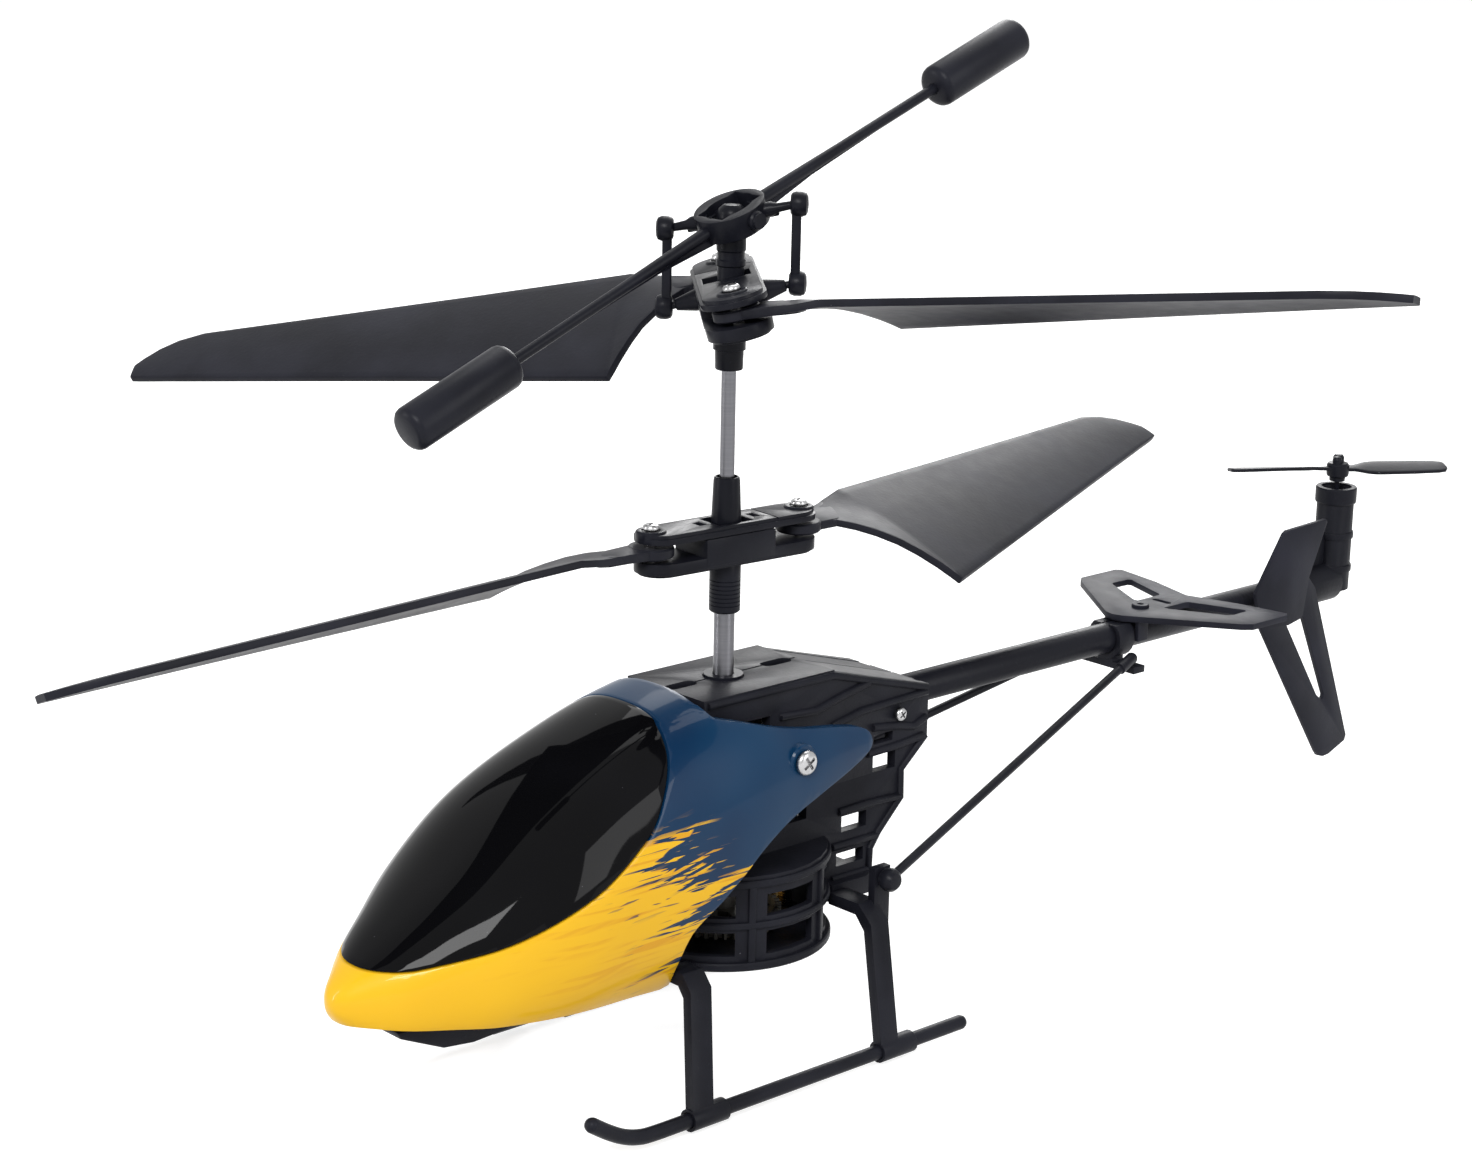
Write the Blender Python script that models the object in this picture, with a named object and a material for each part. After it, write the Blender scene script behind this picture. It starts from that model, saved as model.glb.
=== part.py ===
"""Coaxial micro helicopter, modelled piece by piece in millimetres and written out in metres.

The nose points along -Y, the left side is +X and the skids stand on z = 0.
"""
import math

import bmesh
import bpy
from mathutils import Matrix, Vector

MM = 0.001
SEGMENTS = 16

# Where the rotor shaft stands in the frame, so that the frame's origin is under the middle of the bounds
SHAFT_X = -5.56
SHAFT_Y = -24.41

# Gaps
SEAT_GAP = 0.3
BORE_GAP = 0.1
MOTOR_GAP = 0.2

# Drive train
INNER_SHAFT_R = 0.95
INNER_SHAFT_LOW = 14.4
TUBE_WALL = 0.3
TUBE_BORE_R = INNER_SHAFT_R + BORE_GAP
TUBE_R = TUBE_BORE_R + TUBE_WALL
TUBE_TOP = 77.2
GEAR_MODULE = 0.4
GEAR_TEETH = 40
PINION_TEETH = 8
GEAR_WIDTH = 2.0
INNER_GEAR_Z = 17.2
OUTER_GEAR_Z = 23.6
GEAR_BOSS_WALL = 0.8
GEAR_BOSS_R = TUBE_R + BORE_GAP + GEAR_BOSS_WALL
GEAR_BOSS_HEIGHT = 1.6
GEAR_PITCH_R = GEAR_MODULE * GEAR_TEETH / 2
PINION_PITCH_R = GEAR_MODULE * PINION_TEETH / 2
GEAR_CENTRES = GEAR_PITCH_R + PINION_PITCH_R
PINION_WIDTH = 3.0
MOTOR_R = 4.6
MOTOR_LOW = 28.3
MOTOR_TOP = 46.0
MOTOR_SHAFT_R = 0.5
MOTOR_SHAFT_DEPTH = 3.0

# Frame halves
DECK_TOP = 50.9
DECK_THICK = 1.5
DECK_HALF_WIDTH = 7.5
DECK_FRONT = -10.0
DECK_REAR = 13.0
SIDE_THICK = 1.5
CAGE_R = 14.3
CAGE_WALL = 1.0
CAGE_LOW = 15.2
CAGE_TOP = 28.0
CAGE_FLOOR = 1.2
BRACKET_SIDE = 9.3
BRACKET_FRONT = 12.0
BRACKET_REAR = 20.8
BRACKET_LOW = 18.9
BRACKET_TOP = 21.4
BUSH_WALL = 1.2
DECK_BUSH_R = TUBE_R + BORE_GAP + BUSH_WALL
LOW_BUSH_R = INNER_SHAFT_R + BORE_GAP + BUSH_WALL
CLAMP_HALF_WIDTH = 4.2
CLAMP_FRONT = 22.0
CLAMP_REAR = 31.5
CLAMP_LOW = 38.8
CLAMP_TOP = 45.4
CLAMP_SCREW_Y = 25.2
CLAMP_SCREW_Z = 42.5
CLAMP_SCREW_SHANK_R = 0.5
CLAMP_SCREW_HEAD_R = 0.95

# Tail
BOOM_R = 2.2
BOOM_Z = 42.3
BOOM_FRONT = 27.0
BOOM_REAR = 126.0
TAIL_Y = 129.5
TAIL_MOTOR_R = 2.1
TAIL_TUBE_WALL = 0.6
TAIL_TUBE_BORE_R = TAIL_MOTOR_R + MOTOR_GAP
TAIL_TUBE_R = TAIL_TUBE_BORE_R + TAIL_TUBE_WALL
TAIL_SOCKET_WALL = 0.8
TAIL_SOCKET_R = BOOM_R + BORE_GAP + TAIL_SOCKET_WALL
TAIL_TUBE_LOW = 42.4
TAIL_TUBE_TOP = 57.0
TAIL_ROTOR_R = 17.6
TAIL_ROTOR_Z = 60.2
TAIL_ROTOR_AZIMUTH = 236.5
TAIL_SHAFT_R = 0.4
STAB_LOW = 44.8
STAB_THICK = 0.9
FIN_THICK = 0.8
STRUT_R = 0.62
STRUT_EYE = (17.0, 14.8, 23.9)
STRUT_END = (5.0, 76.5, 40.4)
STRUT_CLAMP_Y = 77.3

# Landing gear
SKID_R = 1.0
SKID_HALF_TRACK = 20.0
COLLAR_R = 1.5
SKID_Z = COLLAR_R
FRONT_COLLAR = (-22.8, -16.9)
REAR_COLLAR = (10.6, 16.7)
FRONT_LEG = (-19.4, -15.9)
REAR_LEG = (11.0, 14.2)
LEG_TOP = 18.6
FRONT_RAKE = 0.2
REAR_RAKE = 0.03

# Canopy: y, half width, low z, high z
CANOPY_STATIONS = (
    (-62.4, 2.3, 19.4, 23.4),
    (-60.0, 4.4, 17.0, 25.4),
    (-56.5, 7.6, 15.0, 28.0),
    (-52.0, 10.3, 14.0, 31.3),
    (-46.0, 13.6, 13.0, 35.8),
    (-41.0, 15.1, 12.4, 39.6),
    (-36.0, 15.9, 12.0, 43.0),
    (-31.0, 15.95, 11.7, 45.6),
    (-26.0, 15.9, 11.5, 47.8),
    (-21.0, 15.85, 11.3, 49.7),
    (-16.0, 15.8, 11.5, 51.1),
    (-11.0, 15.9, 13.4, 52.0),
    (-6.0, 15.9, 16.5, 52.3),
    (4.0, 14.9, 25.0, 50.4),
    (16.0, 13.1, 34.4, 47.0),
)
CANOPY_NOSE = (-63.1, 21.4)
CANOPY_TIP = 1.2
CANOPY_WALL = 1.0
CANOPY_POWER = 2.5
CANOPY_SCREW_Y = 0.9
CANOPY_SCREW_Z = 42.5
CANOPY_SCREW_SHANK_R = 0.8
CANOPY_SCREW_HEAD_R = 1.65
CANOPY_SCREW_SEAT = 14.9
CANOPY_BOSS_R = 2.3
CANOPY_BOSS = 1.7

# Blade roots and screws, the same on both rotors; heights are above or below the blade plane
BLADE_SCREW_RADIUS = 12.1
BLADE_SCREW_R = 0.7
BLADE_SCREW_HEAD_R = 1.1
ROOT_R = 3.0
ROOT_THICK = 1.4
ROOT_GAP = 0.55
HUB_PLATE = 1.5
HUB_CAP = 1.2
HUB_PAD_R = 1.7
HUB_PAD = 0.3
HUB_WALL = 1.1
HUB_BLOCK_HALF = 5.6

# Lower rotor
LOWER_AZIMUTH = 266.0
LOWER_BLADE_Z = 69.35
LOWER_TEETER_DROP = 0.85
LOWER_MAST_WALL = 0.45
LOWER_MAST_R = TUBE_R + BORE_GAP + LOWER_MAST_WALL
LOWER_MAST_LOW = 59.6
LOWER_MAST_TOP = 77.5
TRUNNION_R = 0.6
HUB_HALF_LENGTH = 14.0
HUB_HALF_WIDTH = LOWER_MAST_R + SEAT_GAP + HUB_WALL
LOWER_FOLD_LEFT = 0.0
LOWER_FOLD_RIGHT = 12.8
LOWER_DROOP_LEFT = 3.3
LOWER_DROOP_RIGHT = 0.0

# Upper rotor
UPPER_AZIMUTH = 321.3
HOLDER_Z = 101.0
HOLDER_SWING = 1.1
HEAD_WALL = 0.65
HEAD_NECK_R = INNER_SHAFT_R + BORE_GAP + HEAD_WALL
HEAD_POST_R = 1.9
HEAD_LOW = 91.5
HEAD_TOP = 112.6
HEAD_SOCKET = 6.0
HOLDER_HALF_WIDTH = HEAD_NECK_R + SEAT_GAP + HOLDER_SWING + HUB_WALL
HOLDER_PIN_R = 0.55
UPPER_FOLD_LEFT = 74.0
UPPER_FOLD_RIGHT = 59.2
UPPER_DROOP_LEFT = -1.8
UPPER_DROOP_RIGHT = 5.3

# Flybar and links
FLYBAR_Z = 111.0
FLYBAR_TILT = 21.8
FLYBAR_SAG = 0.6
FLYBAR_HALF = 54.2
FLYBAR_R = 0.7
WEIGHT_R = 2.85
WEIGHT_NEAR = 38.2
WEIGHT_FAR = 55.0
FLYBAR_PIN_R = 0.45
RING_HALF_X = 4.3
RING_HALF_Y = 4.6
RING_THICK = 3.0
LINK_AZIMUTH = 218.0
LINK_R = 8.5
LINK_HOLE_R = 0.95
LINK_EYE_R = 1.45
LINK_THICK = 1.5
ARM_R = 0.8
STUB_R = 0.45
STUB_BACK = 1.2
STUB_FRONT = 1.2
LINK_ALONG = LINK_R * math.cos(math.radians(LINK_AZIMUTH - UPPER_AZIMUTH))
LINK_ACROSS = LINK_R * math.sin(math.radians(LINK_AZIMUTH - UPPER_AZIMUTH))
LINK_DIP = LINK_R * math.sin(math.radians(LINK_AZIMUTH)) * math.sin(math.radians(FLYBAR_TILT))
HOLDER_ROLL = math.degrees(math.asin(LINK_DIP / LINK_ACROSS))

# Blade plan: distance from the screw, leading edge, trailing edge, pitch in degrees, thickness
BLADE_STATIONS = (
    (1.6, 1.4, -1.4, 0.0, 1.2),
    (5.0, 2.4, -2.6, 5.0, 1.2),
    (9.6, 3.4, -9.9, 14.5, 1.15),
    (13.3, 4.0, -18.5, 22.7, 1.1),
    (36.0, 4.2, -13.6, 22.5, 1.0),
    (60.0, 4.6, -8.4, 22.2, 0.9),
    (74.8, 4.9, -5.2, 22.0, 0.8),
    (80.8, 2.6, -3.9, 22.0, 0.75),
    (83.8, -0.6, -3.2, 22.0, 0.7),
)

MATERIALS = {
    "black": ((0.02, 0.021, 0.024, 1.0), 0.0, 0.45),
    "gloss": ((0.008, 0.008, 0.01, 1.0), 0.0, 0.12),
    "blue": ((0.01, 0.05, 0.12, 1.0), 0.0, 0.35),
    "steel": ((0.55, 0.56, 0.58, 1.0), 1.0, 0.3),
    "silver": ((0.75, 0.75, 0.76, 1.0), 1.0, 0.22),
    "white": ((0.8, 0.8, 0.78, 1.0), 0.0, 0.4),
    "brass": ((0.72, 0.52, 0.22, 1.0), 1.0, 0.3),
    "green": ((0.02, 0.16, 0.06, 1.0), 0.0, 0.4),
    "foil": ((0.6, 0.62, 0.66, 1.0), 0.2, 0.35),
}


def clear_scene():
    """Remove every object so the build starts from nothing."""
    for obj in list(bpy.data.objects):
        bpy.data.objects.remove(obj, do_unlink=True)


def object_from(name, vertices, faces):
    """Make an object from millimetre vertices, with its normals facing outwards."""
    mesh = bpy.data.meshes.new(name)
    mesh.from_pydata([Vector(v) * MM for v in vertices], [], faces)
    sheet = bmesh.new()
    sheet.from_mesh(mesh)
    bmesh.ops.remove_doubles(sheet, verts=sheet.verts, dist=1e-7)
    bmesh.ops.recalc_face_normals(sheet, faces=sheet.faces)
    sheet.to_mesh(mesh)
    sheet.free()
    obj = bpy.data.objects.new(name, mesh)
    bpy.context.scene.collection.objects.link(obj)
    return obj


def loft(name, sections):
    """Join equal closed sections in order and close both ends."""
    count = len(sections[0])
    vertices = [point for section in sections for point in section]
    faces = []
    for row in range(len(sections) - 1):
        for i in range(count):
            j = (i + 1) % count
            faces.append((row * count + i, row * count + j, (row + 1) * count + j, (row + 1) * count + i))
    last = (len(sections) - 1) * count
    faces.append(tuple(range(count)))
    faces.append(tuple(last + i for i in range(count)))
    return object_from(name, vertices, faces)


def circle(radius, z, segments=SEGMENTS, phase=0.0):
    """Points of a level circle about the z axis."""
    step = 2 * math.pi / segments
    return [(radius * math.cos(i * step + phase), radius * math.sin(i * step + phase), z) for i in range(segments)]


def turned(name, profile, segments=SEGMENTS):
    """Solid of revolution about z from (radius, z) pairs going up."""
    return loft(name, [circle(radius, z, segments) for radius, z in profile])


def tube(name, outer, bore, low, high, segments=SEGMENTS):
    """Straight ring about z, open at both ends."""
    rings = [circle(outer, low, segments), circle(outer, high, segments)]
    rings += [circle(bore, high, segments), circle(bore, low, segments)]
    vertices = [point for ring in rings for point in ring]
    faces = []
    for row in range(4):
        for i in range(segments):
            j = (i + 1) % segments
            below = row * segments
            above = ((row + 1) % 4) * segments
            faces.append((below + i, below + j, above + j, above + i))
    return object_from(name, vertices, faces)


def prism(name, outline, low, high):
    """Flat outline in x and y raised from low to high."""
    return loft(name, [[(x, y, low) for x, y in outline], [(x, y, high) for x, y in outline]])


def block(name, x_span, y_span, z_span):
    """Box between the given limits."""
    outline = [(x_span[0], y_span[0]), (x_span[1], y_span[0]), (x_span[1], y_span[1]), (x_span[0], y_span[1])]
    return prism(name, outline, z_span[0], z_span[1])


def side_prism(name, outline, x_low, x_high):
    """Outline in y and z raised along x."""
    return loft(name, [[(x_low, y, z) for y, z in outline], [(x_high, y, z) for y, z in outline]])


def front_prism(name, outline, y_low, y_high):
    """Outline in x and z raised along y."""
    return loft(name, [[(x, y_low, z) for x, z in outline], [(x, y_high, z) for x, z in outline]])


def stadium(half_length, half_width, steps=6):
    """Outline of a bar along x with round ends."""
    points = []
    for side in (1, -1):
        for i in range(steps + 1):
            angle = -math.pi / 2 + math.pi * i / steps
            x = side * (half_length - half_width + half_width * math.cos(angle))
            points.append((x, side * half_width * math.sin(angle)))
    return points


def moved(obj, matrix):
    """Transform the mesh itself; the translation of the matrix is in millimetres."""
    metric = matrix.copy()
    metric.translation = matrix.translation * MM
    obj.data.transform(metric)
    if matrix.determinant() < 0:
        obj.data.flip_normals()
    return obj


def shifted(obj, x, y, z):
    """Move the mesh by millimetres."""
    return moved(obj, Matrix.Translation((x, y, z)))


def turned_about(obj, degrees, axis, pivot):
    """Turn the mesh about an axis through a pivot in millimetres."""
    spin = Matrix.Rotation(math.radians(degrees), 4, Vector(axis))
    there = Matrix.Translation(Vector(pivot))
    back = Matrix.Translation(-Vector(pivot))
    return moved(obj, there @ spin @ back)


def rod(name, start, end, radius, segments=12):
    """Round bar between two points."""
    start = Vector(start)
    end = Vector(end)
    along = end - start
    obj = turned(name, [(radius, 0.0), (radius, along.length)], segments)
    aim = along.to_track_quat("Z", "Y").to_matrix().to_4x4()
    return moved(obj, Matrix.Translation(start) @ aim)


def swept(name, points, radius, segments=12):
    """Round bar along a path in a plane of constant x."""
    sections = []
    for i, point in enumerate(points):
        before = Vector(points[max(i - 1, 0)])
        after = Vector(points[min(i + 1, len(points) - 1)])
        along = (after - before).normalized()
        across = Vector((1.0, 0.0, 0.0))
        up = across.cross(along).normalized()
        ring = []
        for k in range(segments):
            angle = 2 * math.pi * k / segments
            ring.append(Vector(point) + across * radius * math.cos(angle) + up * radius * math.sin(angle))
        sections.append(ring)
    return loft(name, sections)


def boolean(base, other, operation):
    """Combine two objects and remove the second."""
    modifier = base.modifiers.new("combine", "BOOLEAN")
    modifier.operation = operation
    modifier.solver = "EXACT"
    modifier.object = other
    bpy.context.view_layer.update()
    graph = bpy.context.evaluated_depsgraph_get()
    result = bpy.data.meshes.new_from_object(base.evaluated_get(graph))
    base.modifiers.clear()
    base.data = result
    bpy.data.objects.remove(other, do_unlink=True)
    return base


def joined(base, *others):
    """Union of the pieces, kept in the first."""
    for other in others:
        boolean(base, other, "UNION")
    return base


def cut(base, *others):
    """First piece less the others."""
    for other in others:
        boolean(base, other, "DIFFERENCE")
    return base


def kept(base, other):
    """Part of the first piece that lies inside the other."""
    return boolean(base, other, "INTERSECT")


def finish(obj, name, material, pivot=(0.0, 0.0, 0.0), smooth=True):
    """Name the piece, set its origin on its pivot and give it a material of its own."""
    obj.name = name
    obj.data.name = name
    sheet = bmesh.new()
    sheet.from_mesh(obj.data)
    bmesh.ops.remove_doubles(sheet, verts=sheet.verts, dist=2e-6)
    bmesh.ops.dissolve_degenerate(sheet, edges=sheet.edges, dist=2e-6)
    bmesh.ops.recalc_face_normals(sheet, faces=sheet.faces)
    sheet.to_mesh(obj.data)
    sheet.free()
    obj.data.transform(Matrix.Translation(-Vector(pivot) * MM))
    obj.location = (Vector(pivot) + Vector((SHAFT_X, SHAFT_Y, 0.0))) * MM
    colour, metallic, roughness = MATERIALS[material]
    paint = bpy.data.materials.new(name)
    paint.use_nodes = True
    shader = paint.node_tree.nodes["Principled BSDF"]
    shader.inputs["Base Color"].default_value = colour
    shader.inputs["Metallic"].default_value = metallic
    shader.inputs["Roughness"].default_value = roughness
    obj.data.materials.clear()
    obj.data.materials.append(paint)
    if smooth:
        obj.data.shade_smooth()
        obj.data.set_sharp_from_angle(angle=math.radians(35))
    return obj


def mirrored(obj):
    """Copy of a piece reflected to the other side of the centre plane."""
    twin = obj.copy()
    twin.data = obj.data.copy()
    bpy.context.scene.collection.objects.link(twin)
    return moved(twin, Matrix.Scale(-1.0, 4, Vector((1.0, 0.0, 0.0))))


def heading(azimuth):
    """Unit vector in the level plane."""
    return Vector((math.cos(math.radians(azimuth)), math.sin(math.radians(azimuth)), 0.0))


def toothed_outline(teeth, module, phase):
    """Outline of a spur gear with straight flanks and a little backlash."""
    pitch_r = module * teeth / 2
    tip_r = pitch_r + 0.85 * module
    root_r = pitch_r - 1.2 * module
    step = 2 * math.pi / teeth
    points = []
    for i in range(teeth):
        middle = phase + i * step
        for radius, share in ((root_r, -0.3), (tip_r, -0.12), (tip_r, 0.12), (root_r, 0.3)):
            angle = middle + share * step
            points.append((radius * math.cos(angle), radius * math.sin(angle)))
    return points


def build_drive():
    """Shafts, gears, pinions and motors."""
    head_seat = HEAD_LOW + 6.0
    shaft = turned("shaft", [(INNER_SHAFT_R, INNER_SHAFT_LOW), (INNER_SHAFT_R, head_seat)])
    finish(shaft, "inner_shaft", "steel")
    outer = tube("outer", TUBE_R, TUBE_BORE_R, OUTER_GEAR_Z, TUBE_TOP)
    finish(outer, "outer_tube", "steel")

    front = -math.pi / 2
    rear = math.pi / 2
    for name, low, bore, phase in (
        ("inner_gear", INNER_GEAR_Z, INNER_SHAFT_R + BORE_GAP, rear),
        ("outer_gear", OUTER_GEAR_Z, TUBE_R + BORE_GAP, front),
    ):
        gear = prism("gear", toothed_outline(GEAR_TEETH, GEAR_MODULE, phase), low, low + GEAR_WIDTH)
        top = low + GEAR_WIDTH + GEAR_BOSS_HEIGHT
        joined(gear, turned("boss", [(GEAR_BOSS_R, low + 0.5), (GEAR_BOSS_R, top)]))
        cut(gear, turned("bore", [(bore, low - 1.0), (bore, top + 1.0)]))
        for k in range(4):
            spot = heading(90 * k + 45) * (GEAR_PITCH_R * 0.6)
            hole = turned("hole", [(2.0, low - 1.0), (2.0, low + GEAR_WIDTH + 1.0)], 8)
            cut(gear, shifted(hole, spot.x, spot.y, 0.0))
        finish(gear, name, "white", smooth=False)

    for name, side, low in (("pinion_front", -1, OUTER_GEAR_Z), ("pinion_rear", 1, INNER_GEAR_Z)):
        base = low + GEAR_WIDTH / 2 - PINION_WIDTH / 2
        facing = math.pi / 2 if side < 0 else -math.pi / 2
        phase = facing + math.pi / PINION_TEETH
        pinion = prism("pinion", toothed_outline(PINION_TEETH, GEAR_MODULE, phase), base, base + PINION_WIDTH)
        top = MOTOR_LOW + MOTOR_SHAFT_DEPTH - SEAT_GAP
        joined(pinion, turned("stem", [(MOTOR_SHAFT_R, base + 0.5), (MOTOR_SHAFT_R, top)], 12))
        pivot = (0.0, side * GEAR_CENTRES, base)
        finish(shifted(pinion, 0.0, side * GEAR_CENTRES, 0.0), name, "brass", pivot, smooth=False)

    for name, side in (("main_motor_front", -1), ("main_motor_rear", 1)):
        can = turned("can", [
            (MOTOR_R - 0.6, MOTOR_LOW), (MOTOR_R, MOTOR_LOW + 0.6), (MOTOR_R, MOTOR_TOP - 0.6),
            (MOTOR_R - 0.6, MOTOR_TOP), (1.4, MOTOR_TOP), (1.4, MOTOR_TOP + 0.8)])
        bore_r = MOTOR_SHAFT_R + BORE_GAP
        cut(can, turned("bore", [(bore_r, MOTOR_LOW - 1.0), (bore_r, MOTOR_LOW + MOTOR_SHAFT_DEPTH)], 12))
        finish(shifted(can, 0.0, side * GEAR_CENTRES, 0.0), name, "steel")


def frame_half():
    """Left half of the split frame: deck, side plate, gear cage and boom clamp."""
    seam = SEAT_GAP / 2
    inner_side = DECK_HALF_WIDTH - SIDE_THICK
    deck_low = DECK_TOP - DECK_THICK
    deck = block("deck", (seam, DECK_HALF_WIDTH), (DECK_FRONT, DECK_REAR), (deck_low, DECK_TOP))
    side = [
        (DECK_FRONT, DECK_TOP - 0.2), (DECK_REAR, DECK_TOP - 0.2), (CLAMP_REAR - 0.5, CLAMP_TOP + 0.2),
        (CLAMP_REAR - 0.5, CLAMP_LOW - 0.6), (26.4, 34.6), (26.6, 30.4), (22.4, 26.4), (BRACKET_REAR, 24.4),
        (BRACKET_REAR, BRACKET_TOP - 0.3), (BRACKET_FRONT, BRACKET_TOP - 0.3),
        (BRACKET_FRONT, CAGE_TOP - 0.5), (-9.0, CAGE_TOP - 0.5)]
    half = joined(deck, side_prism("side", side, inner_side, DECK_HALF_WIDTH))
    cage = turned("cage", [(CAGE_R, CAGE_LOW), (CAGE_R, CAGE_TOP)], 28)
    hollow_r = CAGE_R - CAGE_WALL
    cut(cage, turned("hollow", [(hollow_r, CAGE_LOW + CAGE_FLOOR), (hollow_r, CAGE_TOP - 1.0)], 28))
    well_r = GEAR_BOSS_R + 1.2
    cut(cage, turned("well", [(well_r, CAGE_TOP - 3.0), (well_r, CAGE_TOP + 1.0)]))
    seat_r = LOW_BUSH_R + BORE_GAP
    cut(cage, turned("seat", [(seat_r, CAGE_LOW - 1.0), (seat_r, CAGE_LOW + 3.0)]))
    for side_y in (-GEAR_CENTRES, GEAR_CENTRES):
        hole = turned("hole", [(2.4, CAGE_TOP - 2.0), (2.4, CAGE_TOP + 1.0)])
        cut(cage, shifted(hole, 0.0, side_y, 0.0))
    kept(cage, block("keep", (seam, 30.0), (-30.0, 30.0), (0.0, 60.0)))
    for angle in (-50, 0, 50):
        for low, high in ((17.2, 20.4), (22.4, 25.4)):
            window = block("window", (hollow_r - 2.0, CAGE_R + 2.0), (-4.0, 4.0), (low, high))
            cut(cage, turned_about(window, angle, (0, 0, 1), (0, 0, 0)))
    joined(half, cage)
    bracket = block("bracket", (seam, BRACKET_SIDE), (BRACKET_FRONT, BRACKET_REAR - 0.3), (BRACKET_LOW, BRACKET_TOP))
    cut(bracket, turned("hollow", [(hollow_r + 0.2, CAGE_LOW), (hollow_r + 0.2, CAGE_TOP)], 28))
    joined(half, bracket)
    grip = block("grip", (seam, CLAMP_HALF_WIDTH), (CLAMP_FRONT, CLAMP_REAR), (CLAMP_LOW, CLAMP_TOP))
    web = block("web", (seam, DECK_HALF_WIDTH - 0.4), (BOOM_FRONT + 0.6, BOOM_FRONT + 2.8), (CLAMP_LOW + 0.6, CLAMP_TOP - 0.6))
    joined(half, joined(grip, web))
    roof_rear = CLAMP_REAR - 0.5
    roof = [(DECK_REAR - 0.6, DECK_TOP - 0.1), (roof_rear, CLAMP_TOP + 0.1), (roof_rear, CLAMP_TOP - 0.6),
            (DECK_REAR - 0.6, DECK_TOP - 1.0)]
    joined(half, side_prism("roof", roof, seam, inner_side + 0.3))
    boss_x = CANOPY_SCREW_SEAT - 2.6
    boss = rod("boss", (inner_side + 0.4, CANOPY_SCREW_Y, CANOPY_SCREW_Z),
               (boss_x, CANOPY_SCREW_Y, CANOPY_SCREW_Z), 1.8, 18)
    joined(half, boss)
    boom_seat = rod("seat", (0, BOOM_FRONT - SEAT_GAP, BOOM_Z), (0, 60, BOOM_Z), BOOM_R + BORE_GAP, SEGMENTS)
    cut(half, boom_seat)
    bush_r = DECK_BUSH_R + BORE_GAP
    cut(half, turned("bush", [(bush_r, deck_low - 2.0), (bush_r, DECK_TOP + 2.0)]))
    for y in (-7.4, 9.4):
        slot = prism("slot", stadium(2.5, 1.0), deck_low - 2.0, DECK_TOP + 2.0)
        turned_about(slot, 90, (0, 0, 1), (0, 0, 0))
        cut(half, shifted(slot, 0.0, y, 0.0))
    shank_bore = CANOPY_SCREW_SHANK_R + BORE_GAP
    cut(half, rod("bore", (8.2, CANOPY_SCREW_Y, CANOPY_SCREW_Z), (30, CANOPY_SCREW_Y, CANOPY_SCREW_Z), shank_bore))
    clamp_bore = CLAMP_SCREW_SHANK_R + BORE_GAP
    cut(half, rod("bore", (0.8, CLAMP_SCREW_Y, CLAMP_SCREW_Z), (30, CLAMP_SCREW_Y, CLAMP_SCREW_Z), clamp_bore))
    for y, z, length, height in ((22.5, 39.6, 3.6, 1.3), (22.8, 36.2, 4.2, 2.4), (17.4, 28.9, 4.6, 2.2), (16.8, 24.0, 5.0, 1.8),
                                 (4.0, 33.0, 9.0, 3.6), (-3.0, 45.6, 9.0, 2.4), (-4.6, 38.6, 5.0, 4.0)):
        spot = block("spot", (inner_side - 1.0, DECK_HALF_WIDTH + 1.0), (y - length / 2, y + length / 2),
                     (z - height / 2, z + height / 2))
        cut(half, spot)
    return half


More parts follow.
